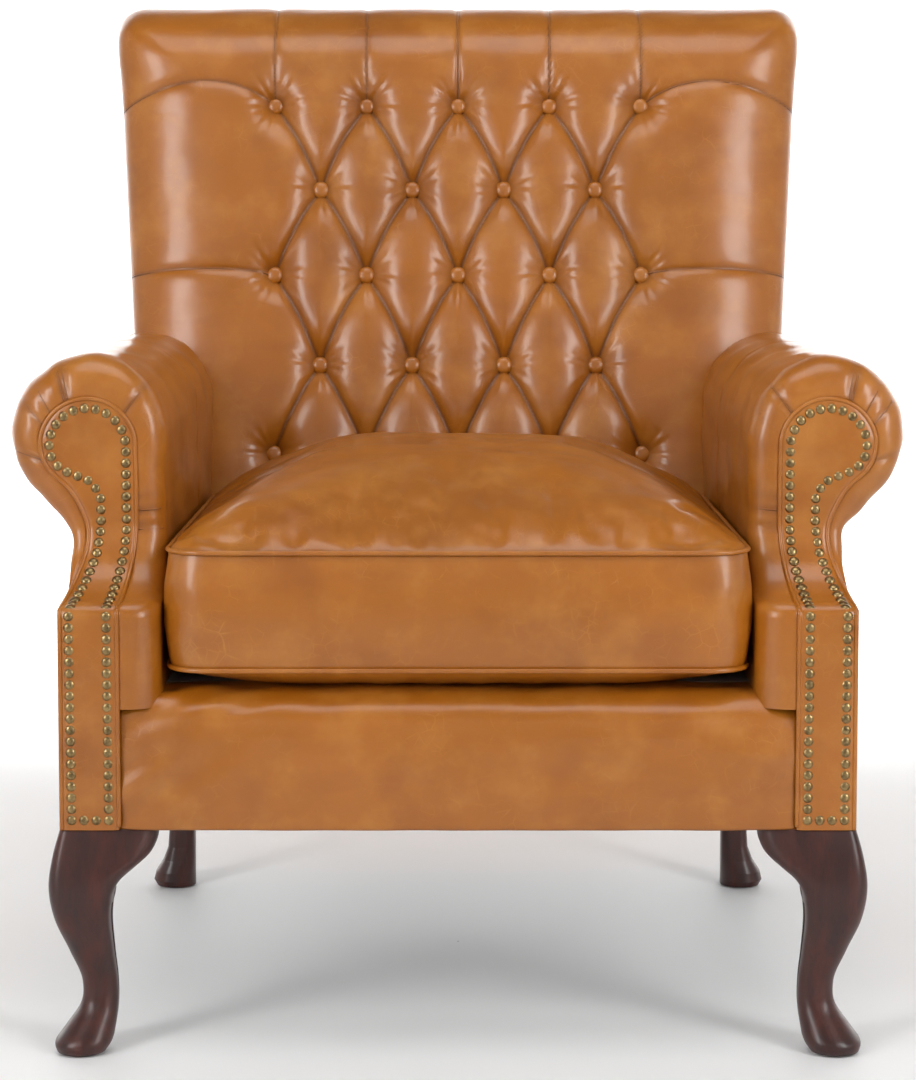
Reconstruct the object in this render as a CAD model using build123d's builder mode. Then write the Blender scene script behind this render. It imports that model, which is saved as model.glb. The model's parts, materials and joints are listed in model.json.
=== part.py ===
from build123d import *
from math import atan, cos, radians, sin, sqrt, tan
import os

os.makedirs("parts", exist_ok=True)

# An upholstered scroll-arm armchair with a buttoned back, in millimetres.
# +Z is up, the front faces -Y, and the origin is on the floor under the middle of the chair.

# ---- driving dimensions ----
WIDTH = 864.0
DEPTH = 850.0
HEIGHT = 1040.0
SEAT_BASE = 220.0
KNEE_PROUD = 12.0
FRONT_Y = -DEPTH / 2 + KNEE_PROUD
LEATHER = 2.5
PANEL = 3.0
CLEAR = 0.4
HOLE_CLEARANCE = 0.1

# arm: a scroll over a straight inner wall, with a concave sweep up the front
ARM_INNER_X = 281.0
ARM_OUTER_X = 369.5
SCROLL_RADIUS = (WIDTH / 2 - ARM_INNER_X) / 2
SCROLL_X = ARM_INNER_X + SCROLL_RADIUS
SCROLL_Z = 587.0
SCROLL_BASE_Z = 528.0
ARM_ROUNDING = 26.0
SWEEP_DEPTH = 80.0
SWEEP_BOTTOM_Z = 431.0
SWEEP_TOP_Z = 500.0
SWEEP_RISE = SWEEP_TOP_Z - SWEEP_BOTTOM_Z
SWEEP_RADIUS = (SWEEP_DEPTH ** 2 + SWEEP_RISE ** 2) / (2 * SWEEP_RISE)

# facing: the nailed panel on the front of each arm
FACING_THICKNESS = 8.0
FACING_OUTER_X = 374.0
FACING_INNER_X = 320.0
FACING_NECK_INNER_X = 309.0
FACING_NECK_OUTER_X = 352.5
FACING_SCROLL_RADIUS = 46.0
FACING_SCROLL_Z = 576.5
FACING_SMALL_RADIUS = 36.0
FACING_SMALL_ARC = 75.0
PIPING_RADIUS = 2.5
NAIL_RADIUS = 5.2
NAIL_HEIGHT = 3.4
NAIL_INSET = 9.5
NAIL_PITCH = 10.8

# back: a raked slab ending in a roll
ROLL_RADIUS = 85.0
ROLL_Y = FRONT_Y + 753.0
ROLL_Z = HEIGHT - ROLL_RADIUS
INNER_LEAN = 12.0
ROLL_END_ANGLE = -60.0
OUTER_FOOT_Y = FRONT_Y + 702.0
BACK_TOP_HALF_WIDTH = 400.0
BACK_TAPER = 0.0593
BACK_CORNER = 30.0

# timber
RAIL_THICKNESS = 30.0
RAIL_HEIGHT = 90.0
POST_INNER_X = 326.0
POST_OUTER_X = 366.0
POST_DEPTH = 45.0
RAIL_FRONT_Y = FRONT_Y + 14.0
DOWEL_RADIUS = 5.0
DOWEL_LENGTH = 50.0

# seat
DECK_TOP = 350.0
RAIL_COVER_TOP = 348.0
RAIL_COVER_DEPTH = 70.0
SPRING_RADIUS = 1.9
SPRING_COUNT = 5
SPRING_SPACING = 105.0
SPRING_Z = 330.0

# cushion
CUSHION_HALF_WIDTH = 274.0
CUSHION_FRONT_Y = FRONT_Y + 5.0
CUSHION_BOTTOM = DECK_TOP + CLEAR
CUSHION_BOTTOM_SEAM = 371.0
CUSHION_TOP_SEAM = 482.6
CUSHION_CROWN = 548.0
CUSHION_REAR_GAP = 9.0
CUSHION_CORNER = 22.0
CUSHION_PIPING = 3.2

# buttons: five staggered rows on the inside back
BUTTON_RADIUS = 8.5
BUTTON_HEIGHT = 6.0
PIT_DEPTH = 30.0
PIT_MOUTH = 20.0
BUTTON_COLUMN = 53.0
BUTTON_ROWS = ((529.0, (-4, -2, 0, 2, 4)), (630.0, (-3, -1, 1, 3)), (733.0, (-4, -2, 0, 2, 4)),
               (831.0, (-3, -1, 1, 3)), (928.0, (-4, -2, 0, 2, 4)))


# ---- shared helpers ----
def xz_plane(y):
    """A vertical plane across the chair at depth y, drawn in X and Z."""
    return Plane.XZ.offset(-y)


def inner_back(z):
    """Y of the inside back's face at height z: a line tangent to the roll."""
    lean = radians(INNER_LEAN)
    return ROLL_Y - ROLL_RADIUS * cos(lean) + (z - ROLL_Z - ROLL_RADIUS * sin(lean)) * tan(lean)


ROLL_END_Y = ROLL_Y + ROLL_RADIUS * cos(radians(ROLL_END_ANGLE))
ROLL_END_Z = ROLL_Z + ROLL_RADIUS * sin(radians(ROLL_END_ANGLE))
OUTER_SLOPE = (ROLL_END_Y - OUTER_FOOT_Y) / (ROLL_END_Z - SEAT_BASE)
OUTER_LEAN = atan(OUTER_SLOPE)


def outer_back(z):
    """Y of the outside back's face at height z."""
    return OUTER_FOOT_Y + (z - SEAT_BASE) * OUTER_SLOPE


def sweep_depth(z):
    """How far the arm front lies behind the front plane at height z."""
    if z <= SWEEP_BOTTOM_Z:
        return 0.0
    if z >= SWEEP_TOP_Z:
        return SWEEP_DEPTH
    return sqrt(SWEEP_RADIUS ** 2 - (SWEEP_BOTTOM_Z + SWEEP_RADIUS - z) ** 2)


def sweep_normal(z):
    """The direction the arm front faces at height z."""
    if z <= SWEEP_BOTTOM_Z or z >= SWEEP_TOP_Z:
        return Vector(0, -1, 0)
    return Vector(0, -sweep_depth(z), SWEEP_BOTTOM_Z + SWEEP_RADIUS - z).normalized()


def save(piece, name):
    """Label a finished piece and write it."""
    piece.part.label = name
    export_step(piece.part, f"parts/{name}.step")


def behind_sweep(inset, rear=0.0):
    """Everything behind the arm's front by inset, and ahead of the outside back by rear."""
    top = SCROLL_Z + SCROLL_RADIUS + 20
    with BuildPart() as region:
        with BuildSketch(Plane.YZ.offset(-WIDTH / 2 - 20)):
            with BuildLine():
                Line((FRONT_Y, SEAT_BASE - 40), (FRONT_Y, SWEEP_BOTTOM_Z))
                middle_z = (SWEEP_BOTTOM_Z + SWEEP_TOP_Z) / 2
                ThreePointArc((FRONT_Y, SWEEP_BOTTOM_Z), (FRONT_Y + sweep_depth(middle_z), middle_z),
                              (FRONT_Y + SWEEP_DEPTH, SWEEP_TOP_Z))
                Polyline((FRONT_Y + SWEEP_DEPTH, SWEEP_TOP_Z), (FRONT_Y + SWEEP_DEPTH, top + 40),
                         (FRONT_Y + DEPTH + 200, top + 40), (FRONT_Y + DEPTH + 200, SEAT_BASE - 40),
                         (FRONT_Y, SEAT_BASE - 40))
            make_face()
            if inset:
                offset(amount=-inset, kind=Kind.INTERSECTION, mode=Mode.REPLACE)
        extrude(amount=WIDTH / 2 + 20)
        with BuildSketch(Plane.YZ.offset(-WIDTH / 2 - 20)):
            with BuildLine():
                Polyline((FRONT_Y - 50, SEAT_BASE), (outer_back(SEAT_BASE) - rear, SEAT_BASE),
                         (outer_back(top) - rear, top), (FRONT_Y - 50, top), close=True)
            make_face()
        extrude(amount=WIDTH / 2 + 20, mode=Mode.INTERSECT)
    return region.part


def facing_outline(grow):
    """The left facing's outline, grown outwards by grow, as a prism along the whole arm front."""
    scroll_x = FACING_NECK_INNER_X + FACING_SCROLL_RADIUS
    small_x = scroll_x + FACING_SCROLL_RADIUS - FACING_SMALL_RADIUS
    end_angle = radians(FACING_SMALL_ARC)
    end_x = -small_x - FACING_SMALL_RADIUS * cos(end_angle)
    end_z = FACING_SCROLL_Z - FACING_SMALL_RADIUS * sin(end_angle)
    with BuildPart() as prism:
        with BuildSketch(xz_plane(FRONT_Y - 20)):
            with BuildLine():
                Polyline((-FACING_OUTER_X, SEAT_BASE), (-FACING_INNER_X, SEAT_BASE),
                         (-FACING_INNER_X, SWEEP_BOTTOM_Z), (-314.0, 455.0), (-310.3, 478.0),
                         (-FACING_NECK_INNER_X, SWEEP_TOP_Z), (-FACING_NECK_INNER_X, FACING_SCROLL_Z))
                CenterArc((-scroll_x, FACING_SCROLL_Z), FACING_SCROLL_RADIUS, 0, 180)
                CenterArc((-small_x, FACING_SCROLL_Z), FACING_SMALL_RADIUS, 180, FACING_SMALL_ARC)
                Polyline((end_x, end_z), (-FACING_NECK_OUTER_X - 5, end_z - 7),
                         (-FACING_NECK_OUTER_X, end_z - 17), (-FACING_NECK_OUTER_X, SWEEP_TOP_Z),
                         (-356.0, 475.0), (-363.5, 453.0), (-FACING_OUTER_X, SWEEP_BOTTOM_Z),
                         (-FACING_OUTER_X, SEAT_BASE))
            make_face()
            if grow:
                offset(amount=grow, mode=Mode.REPLACE)
        extrude(amount=-200)
    return prism.part


def arm_solid(inset):
    """The left arm's soft outer form: its scroll and inner wall, drawn in by inset all round."""
    front = FRONT_Y + SWEEP_DEPTH + inset
    with BuildPart() as arm:
        with BuildSketch(xz_plane(front)):
            with Locations((-SCROLL_X, SCROLL_Z)):
                Circle(SCROLL_RADIUS - inset)
        extrude(amount=-DEPTH)
        fillet(arm.faces().sort_by(Axis.Y)[0].edges(), ARM_ROUNDING - inset)
        with BuildSketch(xz_plane(FRONT_Y + inset)):
            with BuildLine():
                inner_x = -ARM_INNER_X - inset
                Polyline((inner_x, DECK_TOP), (inner_x, SCROLL_Z), (-FACING_INNER_X - 6, SCROLL_Z),
                         (-FACING_INNER_X - 6, DECK_TOP), close=True)
            make_face()
        extrude(amount=-DEPTH)
        add(behind_sweep(inset, PANEL), mode=Mode.INTERSECT)
    return arm.part


def back_profile(inset):
    """The back's side outline, drawn in by inset, as a sketch in Y and Z."""
    lean = radians(INNER_LEAN)
    roll_start = (ROLL_Y - ROLL_RADIUS * cos(lean), ROLL_Z + ROLL_RADIUS * sin(lean))
    with BuildSketch(Plane.YZ) as profile:
        with BuildLine():
            Polyline(roll_start, (inner_back(SEAT_BASE), SEAT_BASE), (OUTER_FOOT_Y, SEAT_BASE),
                     (ROLL_END_Y, ROLL_END_Z))
            ThreePointArc(roll_start, (ROLL_Y, HEIGHT), (ROLL_END_Y, ROLL_END_Z))
        make_face()
        if inset:
            offset(amount=-inset, mode=Mode.REPLACE)
    return profile.sketch


def back_block(inset, side_inset):
    """The whole back as one block, tapered to its foot and rounded at its top corners."""
    top = BACK_TOP_HALF_WIDTH - side_inset
    foot = ARM_OUTER_X - side_inset
    flare_z = HEIGHT - (BACK_TOP_HALF_WIDTH - ARM_OUTER_X) / BACK_TAPER
    with BuildPart() as block:
        extrude(back_profile(inset), amount=WIDTH / 2, both=True)
        with BuildSketch(xz_plane(0)):
            with BuildLine():
                Polyline((-foot, SEAT_BASE), (foot, SEAT_BASE), (foot, flare_z), (top, HEIGHT),
                         (-top, HEIGHT), (-foot, flare_z), close=True)
            face = make_face()
            fillet(face.vertices().group_by(Axis.Z)[-1], BACK_CORNER)
        extrude(amount=DEPTH, both=True, mode=Mode.INTERSECT)
    return block.part


def mirrored(part):
    """The same part for the other side of the chair."""
    with BuildPart() as other:
        mirror(part, about=Plane.YZ)
    return other


def box_between(low, high):
    """A box from its lowest corner to its highest one."""
    size = [high[axis] - low[axis] for axis in range(3)]
    middle = [(high[axis] + low[axis]) / 2 for axis in range(3)]
    with BuildPart() as block:
        with Locations(tuple(middle)):
            Box(*size)
    return block


# ---- back posts: raked, from the seat base to the crest rail ----
with BuildPart() as left_back_post:
    with BuildSketch(Plane.YZ.offset(-POST_OUTER_X)):
        with BuildLine():
            Polyline((outer_back(SEAT_BASE) - PANEL, SEAT_BASE), (outer_back(ROLL_END_Z) - PANEL, ROLL_END_Z),
                     (outer_back(ROLL_END_Z) - PANEL - POST_DEPTH, ROLL_END_Z),
                     (outer_back(SEAT_BASE) - PANEL - POST_DEPTH, SEAT_BASE), close=True)
        make_face()
    extrude(amount=POST_OUTER_X - POST_INNER_X)
right_back_post = mirrored(left_back_post.part)

# ---- arm stumps: the shaped front posts, thick boards that follow the sweep ----
STUMP_INSET = 8.0
STUMP_FOOT_DEPTH = 47.0
with BuildPart() as left_arm_stump:
    add(facing_outline(-STUMP_INSET))
    add(behind_sweep(FACING_THICKNESS), mode=Mode.INTERSECT)
    with BuildSketch(Plane.YZ.offset(-WIDTH / 2)):
        with BuildLine():
            Polyline((FRONT_Y + 55, SEAT_BASE - 1), (FRONT_Y + 55, SWEEP_BOTTOM_Z - 40),
                     (FRONT_Y + SWEEP_DEPTH + 45, SWEEP_TOP_Z), (FRONT_Y + SWEEP_DEPTH + 45, HEIGHT),
                     (FRONT_Y + DEPTH, HEIGHT), (FRONT_Y + DEPTH, SEAT_BASE - 1), close=True)
        make_face()
    extrude(amount=WIDTH / 2, mode=Mode.SUBTRACT)
    with BuildSketch(Plane.XY.offset(SEAT_BASE)):
        with Locations((-SCROLL_X, 0)):
            Rectangle(WIDTH / 2, DEPTH * 2)
    extrude(amount=HEIGHT, mode=Mode.INTERSECT)
    with BuildSketch(Plane.XY.offset(SEAT_BASE)):
        with Locations((-(POST_OUTER_X + POST_INNER_X + 2) / 2,
                        FRONT_Y + FACING_THICKNESS + STUMP_FOOT_DEPTH / 2)):
            Rectangle(POST_OUTER_X - POST_INNER_X - 2, STUMP_FOOT_DEPTH)
    extrude(amount=STUMP_INSET + 2)
right_arm_stump = mirrored(left_arm_stump.part)

# ---- seat rails ----
STUMP_REAR_Y = FRONT_Y + 55.0
RAIL_END_X = 327.0
REAR_RAIL_Y = outer_back(SEAT_BASE) - PANEL - POST_DEPTH + 5
front_seat_rail = box_between((-RAIL_END_X, RAIL_FRONT_Y, SEAT_BASE),
                              (RAIL_END_X, RAIL_FRONT_Y + RAIL_THICKNESS, SEAT_BASE + RAIL_HEIGHT))
rear_seat_rail = box_between((-POST_INNER_X, REAR_RAIL_Y, SEAT_BASE),
                             (POST_INNER_X, REAR_RAIL_Y + RAIL_THICKNESS, SEAT_BASE + RAIL_HEIGHT))
left_seat_rail = box_between((-POST_OUTER_X, STUMP_REAR_Y, SEAT_BASE),
                             (-POST_OUTER_X + RAIL_THICKNESS,
                              outer_back(SEAT_BASE) - PANEL - POST_DEPTH, SEAT_BASE + RAIL_HEIGHT))
right_seat_rail = mirrored(left_seat_rail.part)

# ---- upper rails: crest, lower back, arm tops and the tack rails that covers are pulled round ----
CREST_FRONT_Y = ROLL_END_Y - PANEL - POST_DEPTH - 5
crest_rail = box_between((-POST_OUTER_X, CREST_FRONT_Y, ROLL_END_Z),
                         (POST_OUTER_X, CREST_FRONT_Y + POST_DEPTH, ROLL_END_Z + 75))
LOWER_RAIL_Z = 400.0
LOWER_RAIL_Y = outer_back(LOWER_RAIL_Z) - PANEL - POST_DEPTH + 12
lower_back_rail = box_between((-POST_INNER_X, LOWER_RAIL_Y, LOWER_RAIL_Z),
                              (POST_INNER_X, LOWER_RAIL_Y + 22, LOWER_RAIL_Z + 50))
ARM_RAIL_BASE_Z = 548.0
left_arm_rail = box_between((-POST_OUTER_X - 16, FRONT_Y + SWEEP_DEPTH + 45, ARM_RAIL_BASE_Z),
                            (-POST_INNER_X, outer_back(ARM_RAIL_BASE_Z) - PANEL - POST_DEPTH - 4,
                             ARM_RAIL_BASE_Z + 30))
right_arm_rail = mirrored(left_arm_rail.part)
TACK_RAIL_Z = 352.0
left_arm_tack_rail = box_between((-POST_OUTER_X + 2, STUMP_REAR_Y, TACK_RAIL_Z),
                                 (-POST_OUTER_X + 24, outer_back(TACK_RAIL_Z) - PANEL - POST_DEPTH,
                                  TACK_RAIL_Z + 34))
right_arm_tack_rail = mirrored(left_arm_tack_rail.part)

# ---- webbing across the back posts ----
WEBBING = 2.0
STRAP_WIDTH = 50.0
web_plane = Plane(origin=(0, outer_back(DECK_TOP) - PANEL - POST_DEPTH, DECK_TOP), x_dir=(1, 0, 0),
                  z_dir=(0, -cos(OUTER_LEAN), sin(OUTER_LEAN)))
with BuildPart() as back_webbing:
    with BuildSketch(web_plane):
        with Locations((0, 270)):
            with GridLocations(0, 80, 1, 6):
                Rectangle(2 * POST_OUTER_X - 20, STRAP_WIDTH)
    extrude(amount=WEBBING)

# ---- dowels through the rail ends, and their holes ----
DOWEL_HEIGHTS = (SEAT_BASE + 46, SEAT_BASE + 72)
dowel_places = []
for rail_y in (RAIL_FRONT_Y + RAIL_THICKNESS / 2 + 2, REAR_RAIL_Y + RAIL_THICKNESS / 2 + 3):
    for dowel_z in DOWEL_HEIGHTS:
        for side in (-1, 1):
            dowel_places.append((side * POST_INNER_X, rail_y, dowel_z))
with BuildPart() as frame_dowels:
    with Locations(*dowel_places):
        Cylinder(DOWEL_RADIUS, DOWEL_LENGTH, rotation=(0, 90, 0))
with BuildPart() as dowel_holes:
    with Locations(*dowel_places):
        Cylinder(DOWEL_RADIUS + HOLE_CLEARANCE, DOWEL_LENGTH + 2, rotation=(0, 90, 0))


def drilled(piece, tool):
    """The piece with the tool's shape removed from it."""
    with BuildPart() as result:
        add(piece.part)
        add(tool.part, mode=Mode.SUBTRACT)
    return result


front_seat_rail = drilled(front_seat_rail, dowel_holes)
rear_seat_rail = drilled(rear_seat_rail, dowel_holes)
left_arm_stump = drilled(left_arm_stump, dowel_holes)
right_arm_stump = drilled(right_arm_stump, dowel_holes)
left_back_post = drilled(left_back_post, dowel_holes)
right_back_post = drilled(right_back_post, dowel_holes)

# ---- front legs: cabriole, with the same curve outwards and forwards ----
# Each row is height, outer face, inner face (both across the chair), and corner roundness.
FRONT_LEG_SECTIONS = ((220, 377.0, 327.0, 0.20), (194, 384.0, 326.5, 0.24), (166, 388.0, 327.5, 0.28),
                      (134, 384.0, 331.0, 0.32), (98, 371.0, 329.5, 0.34), (66, 360.8, 327.0, 0.36),
                      (44, 363.0, 326.8, 0.40), (24, 377.0, 329.0, 0.46), (9, 386.5, 332.5, 0.48),
                      (1.5, 384.0, 338.0, 0.48))


def leg_corner(across):
    """Depth of the front leg's face that matches a distance across the chair."""
    return FRONT_Y - KNEE_PROUD + (388.0 - across)


with BuildPart() as left_front_leg_blank:
    for height, outer, inner, roundness in FRONT_LEG_SECTIONS:
        side = outer - inner
        with BuildSketch(Plane.XY.offset(height)):
            with Locations((-(outer + inner) / 2, (leg_corner(outer) + leg_corner(inner)) / 2)):
                RectangleRounded(side, side, side * roundness)
    loft()

# ---- rear legs: straight inside, with a small foot that turns outwards ----
REAR_LEG_INNER_X = 314.6
REAR_LEG_Y = FRONT_Y + 672.0
# Each row is height, width across the chair, and corner roundness.
REAR_LEG_SECTIONS = ((220, 33.0, 0.25), (180, 32.0, 0.25), (140, 31.0, 0.25), (100, 30.5, 0.25),
                     (66, 30.5, 0.28), (48, 32.0, 0.32), (32, 38.0, 0.38), (18, 47.0, 0.45),
                     (8, 49.5, 0.46), (1.5, 46.0, 0.46))
with BuildPart() as left_rear_leg_blank:
    for height, side, roundness in REAR_LEG_SECTIONS:
        with BuildSketch(Plane.XY.offset(height)):
            with Locations((-REAR_LEG_INNER_X - side / 2, REAR_LEG_Y)):
                RectangleRounded(side, side, side * roundness)
    loft(ruled=True)

# ---- hanger bolts from the legs up into the stumps and the rear rail, and glides under the feet ----
GLIDE_RADIUS = 11.0
GLIDE_HEIGHT = 5.0
FRONT_BOLT = (-346.0, leg_corner(346.0))
REAR_BOLT = (-REAR_LEG_INNER_X - 6.4, REAR_RAIL_Y + 6)
GLIDE_FRONT = (-361.0, leg_corner(361.0))
GLIDE_REAR = (-REAR_LEG_INNER_X - 22.0, REAR_LEG_Y)
bolt_places = [(side * x, y, 0) for x, y in (FRONT_BOLT, REAR_BOLT) for side in (-1, 1)]
glide_places = [(side * x, y, 0) for x, y in (GLIDE_FRONT, GLIDE_REAR) for side in (-1, 1)]
BOLT_RADIUS = 4.0
BOLT_LOW = 185.0
BOLT_HIGH = 256.0
with BuildPart() as leg_bolts:
    with BuildSketch(Plane.XY.offset(BOLT_LOW)):
        with Locations(*bolt_places):
            Circle(BOLT_RADIUS)
    extrude(amount=BOLT_HIGH - BOLT_LOW)
with BuildPart() as bolt_holes:
    with BuildSketch(Plane.XY.offset(BOLT_LOW - 2)):
        with Locations(*bolt_places):
            Circle(BOLT_RADIUS + HOLE_CLEARANCE)
    extrude(amount=BOLT_HIGH - BOLT_LOW + 4)
with BuildPart() as foot_glides:
    with BuildSketch(Plane.XY):
        with Locations(*glide_places):
            Circle(GLIDE_RADIUS)
    extrude(amount=GLIDE_HEIGHT)
    fillet(foot_glides.edges().group_by(Axis.Z)[0], 1.0)
with BuildPart() as glide_recesses:
    with BuildSketch(Plane.XY):
        with Locations(*glide_places):
            Circle(GLIDE_RADIUS + HOLE_CLEARANCE)
    extrude(amount=GLIDE_HEIGHT)

left_front_leg = drilled(drilled(left_front_leg_blank, bolt_holes), glide_recesses)
right_front_leg = mirrored(left_front_leg.part)
left_rear_leg = drilled(drilled(left_rear_leg_blank, bolt_holes), glide_recesses)
right_rear_leg = mirrored(left_rear_leg.part)

# ---- corner blocks: triangles glued inside the rails ----
BLOCK_REACH = 95.0
BLOCK_HEIGHT = 60.0
FRONT_CORNER = (-POST_OUTER_X + RAIL_THICKNESS, RAIL_FRONT_Y + RAIL_THICKNESS)
REAR_CORNER = (-POST_OUTER_X + RAIL_THICKNESS, REAR_RAIL_Y)
with BuildPart() as seat_corner_blocks:
    for corner_x, corner_y, inward in ((*FRONT_CORNER, 1), (*REAR_CORNER, -1)):
        for side in (-1, 1):
            with BuildSketch(Plane.XY.offset(SEAT_BASE)):
                with BuildLine():
                    Polyline((-side * corner_x, corner_y), (-side * (corner_x + BLOCK_REACH), corner_y),
                             (-side * corner_x, corner_y + inward * BLOCK_REACH), close=True)
                make_face()
            extrude(amount=BLOCK_HEIGHT)
    for cutter in (left_back_post, right_back_post, left_arm_stump, right_arm_stump):
        add(cutter.part, mode=Mode.SUBTRACT)
rear_seat_rail = drilled(rear_seat_rail, bolt_holes)
left_arm_stump = drilled(left_arm_stump, bolt_holes)
right_arm_stump = drilled(right_arm_stump, bolt_holes)

# ---- brackets: the shaped ears beside each front leg's knee, inwards and backwards ----
BRACKET_THICKNESS = 26.0
BRACKET_SETBACK = 14.0
BRACKET_CURVE = ((284.5, 204.0), (299.0, 177.0), (331.0, 158.0))
BRACKET_TIP = (283.0, SEAT_BASE)
BRACKET_ROOT = (336.0, SEAT_BASE)
inward_curve = [(-across, height) for across, height in BRACKET_CURVE]
rearward_curve = [(leg_corner(across), height) for across, height in BRACKET_CURVE]
with BuildPart() as left_brackets:
    with BuildSketch(xz_plane(leg_corner(388.0 - BRACKET_SETBACK))):
        with BuildLine():
            Polyline(inward_curve[-1], (-BRACKET_ROOT[0], SEAT_BASE), (-BRACKET_TIP[0], SEAT_BASE),
                     inward_curve[0])
            Spline(*inward_curve)
        make_face()
    extrude(amount=-BRACKET_THICKNESS)
    with BuildSketch(Plane.YZ.offset(-388.0 + BRACKET_SETBACK)):
        with BuildLine():
            Polyline(rearward_curve[-1], (leg_corner(BRACKET_ROOT[0]), SEAT_BASE),
                     (leg_corner(BRACKET_TIP[0]), SEAT_BASE), rearward_curve[0])
            Spline(*rearward_curve)
        make_face()
    extrude(amount=BRACKET_THICKNESS)
    add(left_front_leg_blank.part, mode=Mode.SUBTRACT)
with BuildPart() as front_leg_brackets:
    add(left_brackets.part)
    mirror(left_brackets.part, about=Plane.YZ)

# ---- arm padding: the stuffed inner wall and the scroll, round the stump, rail and post ----
def slab_between(low_z, high_z):
    """Everything between two heights."""
    return box_between((-WIDTH, -DEPTH, low_z), (WIDTH, DEPTH, high_z))


arm_padding_form = arm_solid(LEATHER)
facing_zone = box_between((-WIDTH / 2, FRONT_Y - 50, SEAT_BASE - 1),
                          (-ARM_INNER_X, FRONT_Y + SWEEP_DEPTH + 46, HEIGHT))
with BuildPart() as facing_space:
    add(facing_outline(2 * PIPING_RADIUS))
    add(behind_sweep(FACING_THICKNESS), mode=Mode.SUBTRACT)
    add(facing_zone.part, mode=Mode.INTERSECT)
with BuildPart() as stump_space:
    add(facing_outline(-STUMP_INSET))
    add(facing_zone.part, mode=Mode.INTERSECT)
arm_cutters = (facing_space, stump_space, left_back_post, left_arm_rail, back_webbing, lower_back_rail)
outer_side = box_between((-WIDTH, -DEPTH, SEAT_BASE - 1), (-POST_INNER_X, DEPTH, SCROLL_BASE_Z))
with BuildPart() as left_arm_roll_padding:
    add(arm_padding_form)
    add(slab_between(0, SCROLL_BASE_Z).part, mode=Mode.SUBTRACT)
    for cutter in arm_cutters:
        add(cutter.part, mode=Mode.SUBTRACT)
with BuildPart() as left_inside_arm_padding:
    add(arm_padding_form)
    add(slab_between(SCROLL_BASE_Z, HEIGHT).part, mode=Mode.SUBTRACT)
    add(outer_side.part, mode=Mode.SUBTRACT)
    for cutter in arm_cutters:
        add(cutter.part, mode=Mode.SUBTRACT)

# ---- arm covers: leather over the padding inside, and a panel outside ----
arm_form = arm_solid(0)
with BuildPart() as left_inside_arm_cover:
    add(arm_form)
    for cutter in (arm_padding_form, facing_space.part, stump_space.part, left_back_post.part,
                   outer_side.part, back_webbing.part, lower_back_rail.part):
        add(cutter, mode=Mode.SUBTRACT)
with BuildPart() as left_outside_arm_panel:
    with BuildSketch(xz_plane(FRONT_Y)):
        with BuildLine():
            Polyline((-ARM_OUTER_X, SEAT_BASE), (-ARM_OUTER_X, 501), (-398, 524), (-396, 527),
                     (-ARM_OUTER_X + PANEL, 503), (-ARM_OUTER_X + PANEL, SEAT_BASE), close=True)
        make_face()
    extrude(amount=-DEPTH)
    add(behind_sweep(FACING_THICKNESS, PANEL), mode=Mode.INTERSECT)
    add(arm_form, mode=Mode.SUBTRACT)

# ---- facings: a covered board on each arm front, with piping round it and a row of nails ----
with BuildPart() as left_arm_facing:
    add(facing_outline(0))
    add(behind_sweep(0), mode=Mode.INTERSECT)
    add(behind_sweep(FACING_THICKNESS), mode=Mode.SUBTRACT)
with BuildPart() as left_facing_piping:
    add(facing_outline(2 * PIPING_RADIUS))
    add(facing_outline(0), mode=Mode.SUBTRACT)
    add(behind_sweep(0), mode=Mode.INTERSECT)
    add(behind_sweep(2 * PIPING_RADIUS), mode=Mode.SUBTRACT)
    with BuildSketch(Plane.XY.offset(SEAT_BASE)):
        Rectangle(WIDTH * 2, DEPTH * 2)
    extrude(amount=HEIGHT, mode=Mode.INTERSECT)

nail_outline = facing_outline(-NAIL_INSET).faces().sort_by(Axis.Y)[0].outer_wire()
NAIL_STEPS = 12000
nail_trace = []
for step in range(NAIL_STEPS):
    on_wire = nail_outline.position_at(step / NAIL_STEPS)
    nail_trace.append(Vector(on_wire.X, FRONT_Y + sweep_depth(on_wire.Z), on_wire.Z))
corner = min(range(NAIL_STEPS), key=lambda index: nail_trace[index].X + nail_trace[index].Z)
nail_trace = nail_trace[corner:] + nail_trace[:corner + 1]
nail_distance = [0.0]
for before, after in zip(nail_trace, nail_trace[1:]):
    nail_distance.append(nail_distance[-1] + (after - before).length)
other_corner = max(range(NAIL_STEPS), key=lambda index: nail_trace[index].X - nail_trace[index].Z)
nail_wanted = []
for start, end in ((0, other_corner), (other_corner, NAIL_STEPS)):
    run = nail_distance[end] - nail_distance[start]
    nail_count = round(run / NAIL_PITCH)
    nail_wanted += [nail_distance[start] + run * nail / nail_count for nail in range(nail_count)]
NAIL_LIFT = 0.2   # the head's flat rim clears the hollow of the sweep
nail_places = []
for wanted in nail_wanted:
    index = max(step for step in range(NAIL_STEPS) if nail_distance[step] <= wanted)
    share = (wanted - nail_distance[index]) / (nail_distance[index + 1] - nail_distance[index])
    point = nail_trace[index] + (nail_trace[index + 1] - nail_trace[index]) * share
    facing_way = sweep_normal(point.Z)
    if SWEEP_BOTTOM_Z - 6 < point.Z < SWEEP_TOP_Z + 6:
        point += facing_way * NAIL_LIFT
    nail_places.append(Plane(origin=point, x_dir=(1, 0, 0), z_dir=facing_way).location)
with BuildPart() as nail_head:
    with BuildSketch(Plane.XZ):
        with BuildLine():
            Polyline((NAIL_RADIUS, 0), (0, 0), (0, NAIL_HEIGHT))
            ThreePointArc((0, NAIL_HEIGHT), (NAIL_RADIUS * 0.68, NAIL_HEIGHT * 0.72), (NAIL_RADIUS, 0))
        make_face()
    revolve(axis=Axis.Z)
with BuildPart() as left_facing_nails:
    for place in nail_places:
        add(nail_head.part.moved(place), clean=False)
right_facing_nails = mirrored(left_facing_nails.part)

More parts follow.
